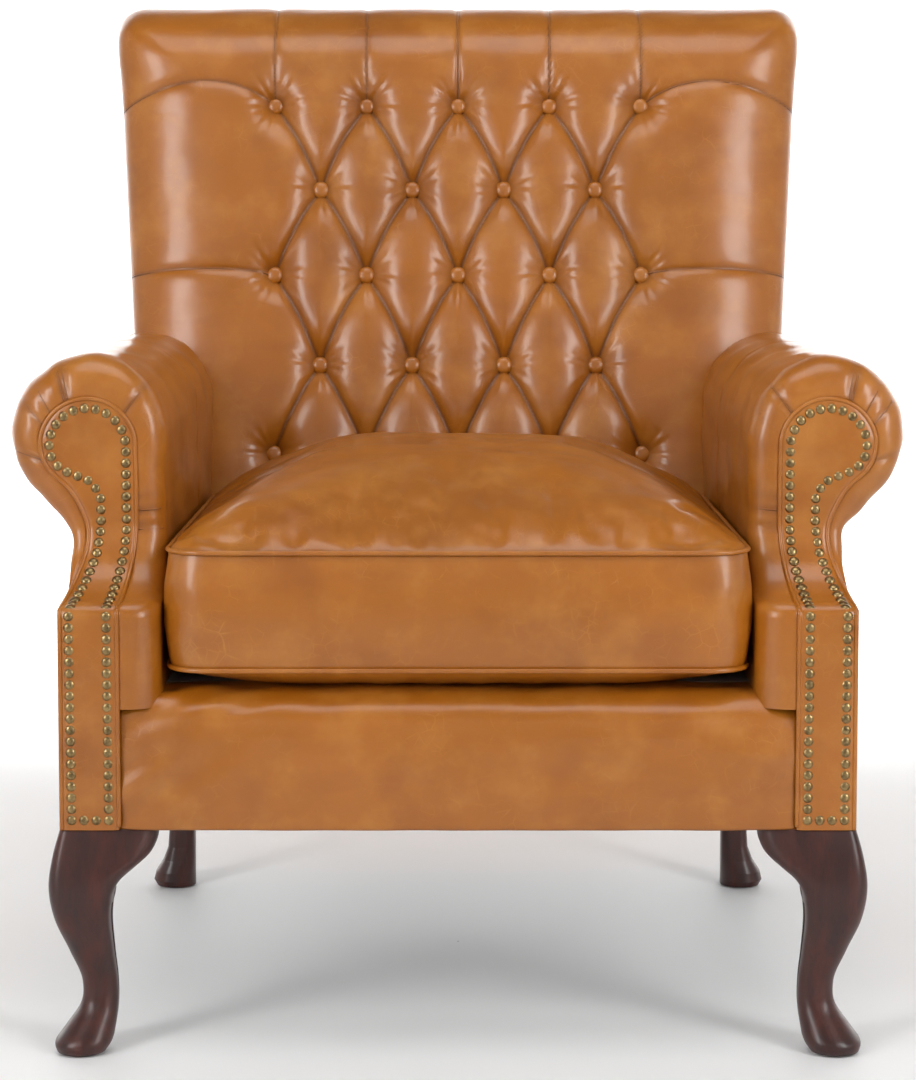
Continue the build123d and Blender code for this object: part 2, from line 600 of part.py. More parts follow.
# ---- front rail: padded over its top edge and covered in leather ----
RAIL_ROUNDING = 28.0
rail_half_width = FACING_INNER_X - PIPING_RADIUS * 2 - 0.5


def rail_form(inset):
    """The padded front rail's side outline, drawn in by inset, as a long block."""
    with BuildPart() as form:
        with BuildSketch(Plane.YZ):
            with BuildLine():
                FilletPolyline((FRONT_Y + inset, SEAT_BASE), (FRONT_Y + inset, RAIL_COVER_TOP - inset),
                               (FRONT_Y + RAIL_COVER_DEPTH, RAIL_COVER_TOP - inset),
                               radius=RAIL_ROUNDING - inset)
                Polyline((FRONT_Y + RAIL_COVER_DEPTH, RAIL_COVER_TOP - inset),
                         (FRONT_Y + RAIL_COVER_DEPTH, SPRING_Z + 6), (RAIL_FRONT_Y, SPRING_Z + 6),
                         (RAIL_FRONT_Y, SEAT_BASE), (FRONT_Y + inset, SEAT_BASE))
            make_face()
        extrude(amount=rail_half_width, both=True)
    return form.part


with BuildPart() as front_edge_roll:
    add(rail_form(LEATHER))
with BuildPart() as front_rail_cover:
    add(rail_form(0))
    add(front_edge_roll.part, mode=Mode.SUBTRACT)

# ---- seat deck: springs, clips, a pad and its cloth ----
DECK_PAD_BASE = SPRING_Z + 4.0
DECK_CLOTH = 2.0
deck_low = (-POST_INNER_X + 1, FRONT_Y + RAIL_COVER_DEPTH)
deck_high_y = inner_back(DECK_PAD_BASE)
deck_padding = box_between((*deck_low, DECK_PAD_BASE), (-deck_low[0], deck_high_y, DECK_TOP - DECK_CLOTH))
seat_deck_cloth = box_between((*deck_low, DECK_TOP - DECK_CLOTH), (-deck_low[0], deck_high_y, DECK_TOP))

SPRING_AMPLITUDE = 26.0
SPRING_TURNS = 15
spring_start_y = RAIL_FRONT_Y + RAIL_THICKNESS / 2
spring_pitch = (REAR_RAIL_Y + 10 - spring_start_y) / (SPRING_TURNS + 1)
spring_points = [(0, spring_start_y)]
for turn in range(SPRING_TURNS):
    reach = SPRING_AMPLITUDE * (-1) ** turn
    spring_points.append((reach, spring_start_y + (turn + 0.55) * spring_pitch))
    spring_points.append((reach, spring_start_y + (turn + 1.45) * spring_pitch))
spring_points.append((0, REAR_RAIL_Y + 10))
with BuildPart() as seat_spring:
    with BuildLine(Plane.XY.offset(SPRING_Z)) as spring_path:
        FilletPolyline(*spring_points, radius=8)
    with BuildSketch(Plane(origin=spring_path.line @ 0, z_dir=spring_path.line % 0)):
        Circle(SPRING_RADIUS)
    sweep()
with BuildPart() as seat_springs:
    with GridLocations(SPRING_SPACING, 0, SPRING_COUNT, 1):
        add(seat_spring.part)
with BuildPart() as spring_clips:
    for clip_y in (spring_start_y, REAR_RAIL_Y + 10):
        with BuildSketch(Plane.XY.offset(SEAT_BASE + RAIL_HEIGHT)):
            with Locations((0, clip_y)):
                with GridLocations(SPRING_SPACING, 0, SPRING_COUNT, 1):
                    Rectangle(16, 12)
        extrude(amount=SPRING_Z + SPRING_RADIUS + 1.5 - SEAT_BASE - RAIL_HEIGHT)
    add(seat_springs.part, mode=Mode.SUBTRACT)

# ---- back: webbing, foam, inside cover, outside panel and side panels ----
pit_list = []
for row_z, columns in BUTTON_ROWS:
    for column in columns:
        mouth = Vector(column * BUTTON_COLUMN, inner_back(row_z), row_z)
        facing_out = Vector(0, -cos(radians(INNER_LEAN)), sin(radians(INNER_LEAN)))
        pit_list.append(Plane(origin=mouth - facing_out * PIT_DEPTH, x_dir=(1, 0, 0), z_dir=facing_out).location)
FOAM_REAR_GAP = PANEL + POST_DEPTH + WEBBING + 1.0
with BuildPart() as button_pit:
    with BuildSketch(Plane.XY):
        Circle(BUTTON_RADIUS + 0.5)
    with BuildSketch(Plane.XY.offset(PIT_DEPTH + 1)):
        Circle(PIT_MOUTH)
    loft()
TWINE_RADIUS = 1.5
TWINE_REACH = 130.0
with BuildPart() as back_space:
    with BuildSketch(Plane.YZ):
        with BuildLine():
            Polyline((outer_back(SEAT_BASE) - FOAM_REAR_GAP, SEAT_BASE - 5),
                     (outer_back(ROLL_END_Z) - FOAM_REAR_GAP, ROLL_END_Z),
                     (outer_back(ROLL_END_Z) + 40, ROLL_END_Z), (outer_back(SEAT_BASE) + 40, SEAT_BASE - 5),
                     close=True)
        make_face()
    extrude(amount=WIDTH, both=True)
with BuildPart() as button_pits:
    for place in pit_list:
        add(button_pit.part.moved(place))
with BuildPart() as twine_holes:
    for place in pit_list:
        add(Cylinder(TWINE_RADIUS + HOLE_CLEARANCE, TWINE_REACH, mode=Mode.PRIVATE,
                     align=(Align.CENTER, Align.CENTER, Align.MAX)).moved(place))
right_arm_form = mirrored(arm_form)
below_deck = slab_between(0, DECK_TOP)
left_arm_zone = box_between((-WIDTH, -DEPTH, 0), (-ARM_INNER_X, DEPTH, SCROLL_Z))
right_arm_zone = mirrored(left_arm_zone.part)
arm_zones = (right_arm_form, left_arm_zone, right_arm_zone)
with BuildPart() as back_foam:
    add(back_block(LEATHER, LEATHER))
    add(arm_form, mode=Mode.SUBTRACT)
    for cutter in (back_space, crest_rail, below_deck, *arm_zones, button_pits, twine_holes):
        add(cutter.part, mode=Mode.SUBTRACT)

with BuildPart() as rear_skin_space:
    with BuildSketch(Plane.YZ):
        with BuildLine():
            Polyline((outer_back(SEAT_BASE) - 25, SEAT_BASE - 5), (ROLL_END_Y - 25, ROLL_END_Z),
                     (ROLL_END_Y + 40, ROLL_END_Z), (outer_back(SEAT_BASE) + 40, SEAT_BASE - 5), close=True)
        make_face()
    extrude(amount=WIDTH, both=True)
with BuildPart() as inside_back_cover:
    add(back_block(0, LEATHER))
    add(back_block(LEATHER, 0), mode=Mode.SUBTRACT)
    add(arm_form, mode=Mode.SUBTRACT)
    for cutter in (rear_skin_space, below_deck, button_pits, *arm_zones):
        add(cutter.part, mode=Mode.SUBTRACT)
with BuildPart() as back_sides:
    add(back_block(0, 0))
    add(back_block(-LEATHER, LEATHER), mode=Mode.SUBTRACT)
    add(arm_form, mode=Mode.SUBTRACT)
    for cutter in arm_zones:
        add(cutter.part, mode=Mode.SUBTRACT)
with BuildPart() as outside_back_panel:
    with BuildSketch(Plane.YZ):
        with BuildLine():
            Polyline((OUTER_FOOT_Y, SEAT_BASE), (ROLL_END_Y, ROLL_END_Z), (ROLL_END_Y - PANEL, ROLL_END_Z),
                     (OUTER_FOOT_Y - PANEL, SEAT_BASE), close=True)
        make_face()
    extrude(amount=WIDTH / 2, both=True)
    with BuildSketch(xz_plane(0)):
        with BuildLine():
            flare_z = HEIGHT - (BACK_TOP_HALF_WIDTH - ARM_OUTER_X) / BACK_TAPER
            top_half = BACK_TOP_HALF_WIDTH - LEATHER
            Polyline((-ARM_OUTER_X, SEAT_BASE), (ARM_OUTER_X, SEAT_BASE), (ARM_OUTER_X, flare_z),
                     (top_half, HEIGHT), (-top_half, HEIGHT), (-ARM_OUTER_X, flare_z), close=True)
        make_face()
        with Locations((-SCROLL_X, SCROLL_Z), (SCROLL_X, SCROLL_Z)):
            Circle(SCROLL_RADIUS)
    extrude(amount=DEPTH, both=True, mode=Mode.INTERSECT)
    add(back_sides.part, mode=Mode.SUBTRACT)
left_back_side, right_back_side = back_sides.part.solids().sort_by(Axis.X)
with BuildPart() as left_back_side_panel:
    add(left_back_side)
with BuildPart() as right_back_side_panel:
    add(right_back_side)

# ---- buttons in their pits, each tied back with twine ----
with BuildPart() as button:
    with BuildSketch(Plane.XZ):
        with BuildLine():
            Polyline((BUTTON_RADIUS, 1.2), (BUTTON_RADIUS - 1, 0.2), (0, 0.2), (0, BUTTON_HEIGHT))
            ThreePointArc((0, BUTTON_HEIGHT), (BUTTON_RADIUS * 0.7, BUTTON_HEIGHT * 0.72), (BUTTON_RADIUS, 1.2))
        make_face()
    revolve(axis=Axis.Z)
with BuildPart() as back_buttons:
    for place in pit_list:
        add(button.part.moved(place))
with BuildPart() as button_twines:
    for place in pit_list:
        pit_y = place.position.Y
        pit_z = place.position.Z
        lean = radians(INNER_LEAN)
        if pit_z > ROLL_END_Z:
            run = (CREST_FRONT_Y - pit_y) / cos(lean)
        else:
            tie_y = outer_back(pit_z) - FOAM_REAR_GAP + 1
            run = (tie_y - pit_y) / (cos(lean) + OUTER_SLOPE * sin(lean))
        add(Cylinder(TWINE_RADIUS, run - 1.5, mode=Mode.PRIVATE,
                     align=(Align.CENTER, Align.CENTER, Align.MAX)).moved(place))

# ---- dust cover under the seat, notched round the legs ----
with BuildPart() as dust_cover:
    with BuildSketch(Plane.XY.offset(SEAT_BASE - 1.5)):
        with Locations((0, (RAIL_FRONT_Y + OUTER_FOOT_Y) / 2)):
            Rectangle(2 * (POST_OUTER_X - 4), OUTER_FOOT_Y - RAIL_FRONT_Y - 12)
        with Locations((-POST_OUTER_X, RAIL_FRONT_Y), (POST_OUTER_X, RAIL_FRONT_Y)):
            Rectangle(2 * (POST_OUTER_X - 280), 166, mode=Mode.SUBTRACT)
        with Locations((-POST_OUTER_X, OUTER_FOOT_Y), (POST_OUTER_X, OUTER_FOOT_Y)):
            Rectangle(2 * (POST_OUTER_X - 310), 130, mode=Mode.SUBTRACT)
    extrude(amount=1.5)


# ---- seat cushion: a crowned box with a welt top and bottom, loose on the deck ----
def cushion_rear(z):
    """Y of the cushion's rear border at height z, parallel to the inside back."""
    return inner_back(z) - CUSHION_REAR_GAP


def cushion_form(inset):
    """The cushion's outer form, drawn in by inset."""
    middle_y = (CUSHION_FRONT_Y + cushion_rear(CUSHION_TOP_SEAM)) / 2
    with BuildPart() as form:
        with BuildSketch(Plane.YZ):
            with BuildLine():
                front_low = (CUSHION_FRONT_Y, CUSHION_BOTTOM_SEAM)
                front_high = (CUSHION_FRONT_Y, CUSHION_TOP_SEAM)
                rear_low = (cushion_rear(CUSHION_BOTTOM_SEAM), CUSHION_BOTTOM_SEAM)
                rear_high = (cushion_rear(CUSHION_TOP_SEAM), CUSHION_TOP_SEAM)
                Line(front_low, front_high)
                ThreePointArc(front_high, (middle_y, CUSHION_CROWN), rear_high)
                Line(rear_high, rear_low)
                ThreePointArc(rear_low, (middle_y, CUSHION_BOTTOM), front_low)
            make_face()
            if inset:
                offset(amount=-inset, mode=Mode.REPLACE)
        extrude(amount=CUSHION_HALF_WIDTH - inset, both=True)
        with BuildSketch(xz_plane(0)):
            with BuildLine():
                half = CUSHION_HALF_WIDTH
                Line((-half, CUSHION_BOTTOM_SEAM), (-half, CUSHION_TOP_SEAM))
                ThreePointArc((-half, CUSHION_TOP_SEAM), (0, CUSHION_CROWN), (half, CUSHION_TOP_SEAM))
                Line((half, CUSHION_TOP_SEAM), (half, CUSHION_BOTTOM_SEAM))
                ThreePointArc((half, CUSHION_BOTTOM_SEAM), (0, CUSHION_BOTTOM), (-half, CUSHION_BOTTOM_SEAM))
            make_face()
            if inset:
                offset(amount=-inset, mode=Mode.REPLACE)
        extrude(amount=DEPTH, both=True, mode=Mode.INTERSECT)
    return form.part


def welt(z):
    """A raised cord seam round the cushion at height z."""
    half = CUSHION_HALF_WIDTH + CUSHION_PIPING
    front = CUSHION_FRONT_Y - CUSHION_PIPING
    rear = cushion_rear(z) + CUSHION_PIPING
    with BuildPart() as cord:
        with BuildSketch(Plane.XY.offset(z - CUSHION_PIPING)):
            with Locations((0, (front + rear) / 2)):
                RectangleRounded(2 * half, rear - front, CUSHION_PIPING)
                Rectangle(2 * (half - 2 * CUSHION_PIPING), rear - front - 4 * CUSHION_PIPING,
                          mode=Mode.SUBTRACT)
        extrude(amount=2 * CUSHION_PIPING)
        chamfer(cord.edges().filter_by(Axis.X).sort_by(Axis.Y)[:2], 1.6)
        add(cushion_form(0), mode=Mode.SUBTRACT)
    return cord.part


with BuildPart() as cushion_cover:
    add(cushion_form(0))
    add(cushion_form(LEATHER), mode=Mode.SUBTRACT)
with BuildPart() as cushion_core:
    add(cushion_form(LEATHER + 0.2))
with BuildPart() as cushion_top_piping:
    add(welt(CUSHION_TOP_SEAM).solids().sort_by(SortBy.VOLUME)[-1])
with BuildPart() as cushion_bottom_piping:
    add(welt(CUSHION_BOTTOM_SEAM).solids().sort_by(SortBy.VOLUME)[-1])

# ---- zip along the cushion's rear border, and its slider ----
ZIP_HALF_LENGTH = 220.0
ZIP_TAPE = 1.0
ZIP_TEETH_TOP = 2.4
ZIP_TEETH_WIDTH = 4.0
SLIDER_LENGTH = 12.0
ZIP_TRAVEL = 420.0
zip_z = (CUSHION_BOTTOM_SEAM + CUSHION_TOP_SEAM) / 2
zip_plane = Plane(origin=(0, cushion_rear(zip_z), zip_z), x_dir=(1, 0, 0),
                  z_dir=(0, cos(radians(INNER_LEAN)), -sin(radians(INNER_LEAN))))
with BuildPart() as cushion_zip:
    with BuildSketch(zip_plane):
        Rectangle(2 * ZIP_HALF_LENGTH, 26)
    extrude(amount=ZIP_TAPE)
    with BuildSketch(zip_plane.offset(ZIP_TAPE)):
        Rectangle(2 * ZIP_HALF_LENGTH, ZIP_TEETH_WIDTH)
    extrude(amount=ZIP_TEETH_TOP - ZIP_TAPE)
slider_x = -ZIP_TRAVEL / 2
with BuildPart() as zip_slider:
    with BuildSketch(zip_plane.offset(ZIP_TAPE + CLEAR)):
        with Locations((slider_x, 0)):
            RectangleRounded(SLIDER_LENGTH, 11, 2.5)
    extrude(amount=3.8)
    with BuildSketch(zip_plane.offset(ZIP_TAPE)):
        with Locations((slider_x, 0)):
            Rectangle(SLIDER_LENGTH + 4, ZIP_TEETH_WIDTH + 2 * CLEAR)
    extrude(amount=ZIP_TEETH_TOP + CLEAR - ZIP_TAPE, mode=Mode.SUBTRACT)

# ---- the right-hand copies of what was made on the left ----
right_arm_roll_padding = mirrored(left_arm_roll_padding.part)
right_inside_arm_padding = mirrored(left_inside_arm_padding.part)
right_inside_arm_cover = mirrored(left_inside_arm_cover.part)
right_outside_arm_panel = mirrored(left_outside_arm_panel.part)
right_arm_facing = mirrored(left_arm_facing.part)
right_facing_piping = mirrored(left_facing_piping.part)

# ---- write every piece ----
save(front_seat_rail, "front_seat_rail")
save(rear_seat_rail, "rear_seat_rail")
save(left_seat_rail, "left_seat_rail")
save(right_seat_rail, "right_seat_rail")
save(seat_corner_blocks, "seat_corner_blocks")
save(left_arm_stump, "left_arm_stump")
save(right_arm_stump, "right_arm_stump")
save(left_back_post, "left_back_post")
save(right_back_post, "right_back_post")
save(crest_rail, "crest_rail")
save(lower_back_rail, "lower_back_rail")
save(left_arm_rail, "left_arm_rail")
save(right_arm_rail, "right_arm_rail")
save(left_arm_tack_rail, "left_arm_tack_rail")
save(right_arm_tack_rail, "right_arm_tack_rail")
save(frame_dowels, "frame_dowels")
save(left_front_leg, "left_front_leg")
save(right_front_leg, "right_front_leg")
save(left_rear_leg, "left_rear_leg")
save(right_rear_leg, "right_rear_leg")
save(front_leg_brackets, "front_leg_brackets")
save(leg_bolts, "leg_bolts")
save(foot_glides, "foot_glides")
save(left_arm_roll_padding, "left_arm_roll_padding")
save(right_arm_roll_padding, "right_arm_roll_padding")
save(left_inside_arm_padding, "left_inside_arm_padding")
save(right_inside_arm_padding, "right_inside_arm_padding")
save(left_inside_arm_cover, "left_inside_arm_cover")
save(right_inside_arm_cover, "right_inside_arm_cover")
save(left_outside_arm_panel, "left_outside_arm_panel")
save(right_outside_arm_panel, "right_outside_arm_panel")
save(left_arm_facing, "left_arm_facing")
save(right_arm_facing, "right_arm_facing")
save(left_facing_piping, "left_facing_piping")
save(right_facing_piping, "right_facing_piping")
save(left_facing_nails, "left_facing_nails")
save(right_facing_nails, "right_facing_nails")
save(front_edge_roll, "front_edge_roll")
save(front_rail_cover, "front_rail_cover")
save(deck_padding, "deck_padding")
save(seat_deck_cloth, "seat_deck_cloth")
save(seat_springs, "seat_springs")
save(spring_clips, "spring_clips")
save(back_webbing, "back_webbing")
save(back_foam, "back_foam")
save(inside_back_cover, "inside_back_cover")
save(outside_back_panel, "outside_back_panel")
save(left_back_side_panel, "left_back_side_panel")
save(right_back_side_panel, "right_back_side_panel")
save(back_buttons, "back_buttons")
save(button_twines, "button_twines")
save(dust_cover, "dust_cover")
save(cushion_core, "cushion_core")
save(cushion_cover, "cushion_cover")
save(cushion_top_piping, "cushion_top_piping")
save(cushion_bottom_piping, "cushion_bottom_piping")
save(cushion_zip, "cushion_zip")
save(zip_slider, "zip_slider")
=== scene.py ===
import json
import math

import bmesh
import bpy
import numpy as np
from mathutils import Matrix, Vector


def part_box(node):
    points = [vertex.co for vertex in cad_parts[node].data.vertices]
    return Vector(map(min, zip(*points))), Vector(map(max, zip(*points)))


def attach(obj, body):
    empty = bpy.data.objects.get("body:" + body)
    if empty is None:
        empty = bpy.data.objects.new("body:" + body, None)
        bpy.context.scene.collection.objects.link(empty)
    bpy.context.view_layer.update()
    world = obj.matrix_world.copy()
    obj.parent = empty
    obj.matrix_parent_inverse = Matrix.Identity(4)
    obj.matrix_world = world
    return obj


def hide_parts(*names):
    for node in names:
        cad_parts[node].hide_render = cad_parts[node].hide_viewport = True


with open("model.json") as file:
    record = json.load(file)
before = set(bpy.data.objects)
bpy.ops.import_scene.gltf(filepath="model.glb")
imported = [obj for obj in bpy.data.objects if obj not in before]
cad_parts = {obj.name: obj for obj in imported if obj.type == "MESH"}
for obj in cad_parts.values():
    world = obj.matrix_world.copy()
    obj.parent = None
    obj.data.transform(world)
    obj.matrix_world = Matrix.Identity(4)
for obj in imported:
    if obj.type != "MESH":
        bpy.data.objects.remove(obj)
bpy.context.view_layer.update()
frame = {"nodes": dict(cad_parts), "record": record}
nodes = frame["nodes"]

# ------------------------------------------------------------------ driving dimensions, metres
FACING_LOW, FACING_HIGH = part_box("left_arm_facing")
COVER_LOW, COVER_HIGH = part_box("left_inside_arm_cover")
BACK_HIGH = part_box("inside_back_cover")[1]
OUTSIDE_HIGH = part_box("outside_back_panel")[1]
FRONT_Y = FACING_LOW.y
SEAT_BASE = FACING_LOW.z
ARM_INNER = -COVER_HIGH.x
SCROLL_R = (COVER_HIGH.x - COVER_LOW.x) / 2
SCROLL_X = ARM_INNER + SCROLL_R
SCROLL_Z = COVER_HIGH.z - SCROLL_R
ARM_OUTER = 0.3695
DECK_Z = COVER_LOW.z

SWEEP_DEPTH = 0.080
SWEEP_LOW_Z = 0.431
SWEEP_HIGH_Z = 0.500
NECK_INNER = -FACING_HIGH.x
FACING_R = 0.046
FACING_SCROLL_X = NECK_INNER + FACING_R
FACING_SCROLL_Z = FACING_HIGH.z - FACING_R
FACING_SMALL_R = 0.036
FACING_INNER = 0.320
FACING_OUTER = 0.374
NECK_OUTER = 0.3525

HEIGHT = BACK_HIGH.z
ROLL_R = 0.085
ROLL_Y = BACK_HIGH.y - ROLL_R
ROLL_Z = HEIGHT - ROLL_R
INNER_LEAN = math.radians(12.0)
OUTER_FOOT_Y = FRONT_Y + 0.702
ROLL_END_Y = ROLL_Y + ROLL_R * 0.5
ROLL_END_Z = ROLL_Z - ROLL_R * math.sqrt(0.75)
OUTER_SLOPE = (ROLL_END_Y - OUTER_FOOT_Y) / (ROLL_END_Z - SEAT_BASE)
BACK_TOP_HALF = 0.400
BACK_TAPER = 0.0593

BUTTON_STEP = 0.053
BUTTON_ROWS = ((0.529, (-4, -2, 0, 2, 4)), (0.630, (-3, -1, 1, 3)), (0.733, (-4, -2, 0, 2, 4)),
               (0.831, (-3, -1, 1, 3)), (0.928, (-4, -2, 0, 2, 4)))


def inner_back(z):
    """Y of the inside back's face at height z."""
    return (ROLL_Y - ROLL_R * math.cos(INNER_LEAN)
            + (z - ROLL_Z - ROLL_R * math.sin(INNER_LEAN)) * math.tan(INNER_LEAN))


def outer_back(z):
    """Y of the outside back's face at height z."""
    return OUTER_FOOT_Y + (z - SEAT_BASE) * OUTER_SLOPE


def back_half_width(z):
    """Half the back's width at height z."""
    return np.maximum(ARM_OUTER, BACK_TOP_HALF - (HEIGHT - z) * BACK_TAPER)


def sweep(z):
    """How far the arm front lies behind the front plane at height z: a hollow arc."""
    rise = SWEEP_HIGH_Z - SWEEP_LOW_Z
    radius = (SWEEP_DEPTH ** 2 + rise ** 2) / (2 * rise)
    drop = radius - (np.clip(z, SWEEP_LOW_Z, SWEEP_HIGH_Z) - SWEEP_LOW_Z)
    return np.sqrt(np.clip(radius ** 2 - drop ** 2, 0.0, None))


# ------------------------------------------------------------------ mesh helpers
def smooth_faces(mesh):
    """Shades every face of a mesh smooth."""
    mesh.polygons.foreach_set("use_smooth", [True] * len(mesh.polygons))


def make_mesh(name, points, faces):
    """A smooth-shaded mesh object from points and faces."""
    mesh = bpy.data.meshes.new(name)
    mesh.from_pydata([tuple(p) for p in points], [], [tuple(f) for f in faces])
    mesh.validate()
    mesh.update()
    smooth_faces(mesh)
    piece = bpy.data.objects.new(name, mesh)
    bpy.context.scene.collection.objects.link(piece)
    return piece


def grid_faces(rows, columns, close_rows=False, close_columns=False):
    """The quads of a rows by columns grid of points."""
    row_count = rows if close_rows else rows - 1
    column_count = columns if close_columns else columns - 1
    faces = []
    for i in range(row_count):
        for j in range(column_count):
            a = i * columns + j
            b = i * columns + (j + 1) % columns
            c = ((i + 1) % rows) * columns + (j + 1) % columns
            d = ((i + 1) % rows) * columns + j
            faces.append((a, b, c, d))
    return faces


def grid_piece(name, grid, close_columns=False, flip=False):
    """A piece from an array of points with shape rows, columns, 3."""
    faces = grid_faces(*grid.shape[:2], close_columns=close_columns)
    if flip:
        faces = [face[::-1] for face in faces]
    return make_mesh(name, grid.reshape(-1, 3), faces)


def outward(piece):
    """Merges doubles and turns all faces outwards."""
    work = bmesh.new()
    work.from_mesh(piece.data)
    bmesh.ops.remove_doubles(work, verts=work.verts, dist=0.00002)
    bmesh.ops.dissolve_degenerate(work, edges=work.edges, dist=0.000005)
    bmesh.ops.recalc_face_normals(work, faces=work.faces)
    work.to_mesh(piece.data)
    work.free()
    smooth_faces(piece.data)
    return piece


def mirrored(piece, name):
    """A copy of a piece for the other side of the chair."""
    copy = piece.copy()
    copy.data = piece.data.copy()
    copy.name = name
    copy.data.name = name
    bpy.context.scene.collection.objects.link(copy)
    work = bmesh.new()
    work.from_mesh(copy.data)
    bmesh.ops.scale(work, vec=(-1, 1, 1), verts=work.verts)
    bmesh.ops.reverse_faces(work, faces=work.faces)
    work.to_mesh(copy.data)
    work.free()
    return copy


def turned_over(piece):
    """The piece replaced by its mirror image, under the same name."""
    name = piece.name
    copy = mirrored(piece, f"{name}_mirrored")
    bpy.data.objects.remove(piece, do_unlink=True)
    copy.name = name
    return copy


def read_points(piece):
    """The points of a piece's mesh, as an array."""
    points = np.empty(len(piece.data.vertices) * 3)
    piece.data.vertices.foreach_get("co", points)
    return points.reshape(-1, 3)


def thicken(piece, thickness):
    """Gives a sheet its thickness, on its inner side."""
    solid = piece.modifiers.new("thickness", "SOLIDIFY")
    solid.thickness = thickness
    solid.offset = -1


def line_normals(line):
    """Unit normals of a flat line of points, a quarter turn anticlockwise from its direction."""
    tangent = np.gradient(line, axis=0)
    tangent /= np.maximum(np.linalg.norm(tangent, axis=1), 1e-9)[:, None]
    return np.stack([-tangent[:, 1], tangent[:, 0]], 1)


def tube(name, path, radius, sides, closed=False):
    """A round cord of the given radius along a list of points."""
    path = np.asarray(path, float)
    count = len(path)
    if closed:
        ahead = np.roll(path, -1, 0)
        behind = np.roll(path, 1, 0)
    else:
        ahead = np.vstack([path[1:], 2 * path[-1:] - path[-2:-1]])
        behind = np.vstack([2 * path[:1] - path[1:2], path[:-1]])
    tangent = ahead - behind
    tangent /= np.linalg.norm(tangent, axis=1)[:, None]
    side = np.cross(tangent[0], (0.13, 0.27, 0.95))
    rings = []
    for index in range(count):
        side = side - tangent[index] * np.dot(side, tangent[index])
        side /= np.linalg.norm(side)
        other = np.cross(tangent[index], side)
        angles = np.linspace(0, 2 * math.pi, sides, endpoint=False)
        rings.append(path[index] + radius * (np.outer(np.cos(angles), side) + np.outer(np.sin(angles), other)))
    grid = np.array(rings)
    points = grid.reshape(-1, 3)
    faces = grid_faces(count, sides, close_rows=closed, close_columns=True)
    if not closed:
        faces.append(tuple(range(sides))[::-1])
        faces.append(tuple((count - 1) * sides + k for k in range(sides)))
    return outward(make_mesh(name, points, faces))


def arc(center, radius, start, end, count):
    """Points on an arc, angles in degrees."""
    angles = np.radians(np.linspace(start, end, count))
    return np.stack([center[0] + radius * np.cos(angles), center[1] + radius * np.sin(angles)], 1)


def spread(points, count):
    """count points evenly spaced along a polyline."""
    points = np.asarray(points, float)
    steps = np.linalg.norm(np.diff(points, axis=0), axis=1)
    distance = np.concatenate([[0], np.cumsum(steps)])
    wanted = np.linspace(0, distance[-1], count)
    return np.stack([np.interp(wanted, distance, points[:, k]) for k in range(points.shape[1])], 1)


def bezier(points, count):
    """A quadratic or cubic Bezier curve through its control points."""
    t = np.linspace(0, 1, count)[:, None]
    p = [np.asarray(q, float) for q in points]
    if len(p) == 3:
        return (1 - t) ** 2 * p[0] + 2 * t * (1 - t) * p[1] + t ** 2 * p[2]
    return (1 - t) ** 3 * p[0] + 3 * t * (1 - t) ** 2 * p[1] + 3 * t ** 2 * (1 - t) * p[2] + t ** 3 * p[3]


def wave(points, scale, seed):
    """Smooth noise between about -1 and 1 at each point, from a few sine waves with seeded directions."""
    rng = np.random.default_rng(seed)
    total = np.zeros(len(points))
    for _ in range(7):
        direction = rng.normal(size=3)
        direction /= np.linalg.norm(direction)
        frequency = 2 * math.pi / scale * rng.uniform(0.6, 1.5)
        total += np.sin(points @ direction * frequency + rng.uniform(0, 6.28))
    return total / 4.0


def set_shade(piece, values):
    """Stores how deep in a crease each point lies, 0 to 1, as painted shade in the leather's colour."""
    attribute = piece.data.attributes.new("fold", "FLOAT", "POINT")
    attribute.data.foreach_set("value", np.clip(values, 0, 1).astype(np.float32))


LIP_SIDES = 6
CORD_SIDES = 10


def shade_lips(piece, plain_end=0):
    """Keeps a lip's upper side in the leather's own colour and paints shade on its dark underside, where the lip
    overhangs the crease.
    """
    points = read_points(piece)
    shade = np.zeros(len(points))
    lips_end = len(points) - plain_end
    rings = points[:lips_end].reshape(-1, LIP_SIDES, 3)
    offset = rings - rings.mean(axis=1, keepdims=True)
    offset /= np.linalg.norm(offset, axis=2, keepdims=True)
    # painted shade: the side facing down, and a little the side facing -x, is darkened
    shade[:lips_end] = np.clip(0.68 - 0.70 * (offset[..., 2] + 0.35 * offset[..., 0]), 0.08, 1).reshape(-1)
    set_shade(piece, shade)


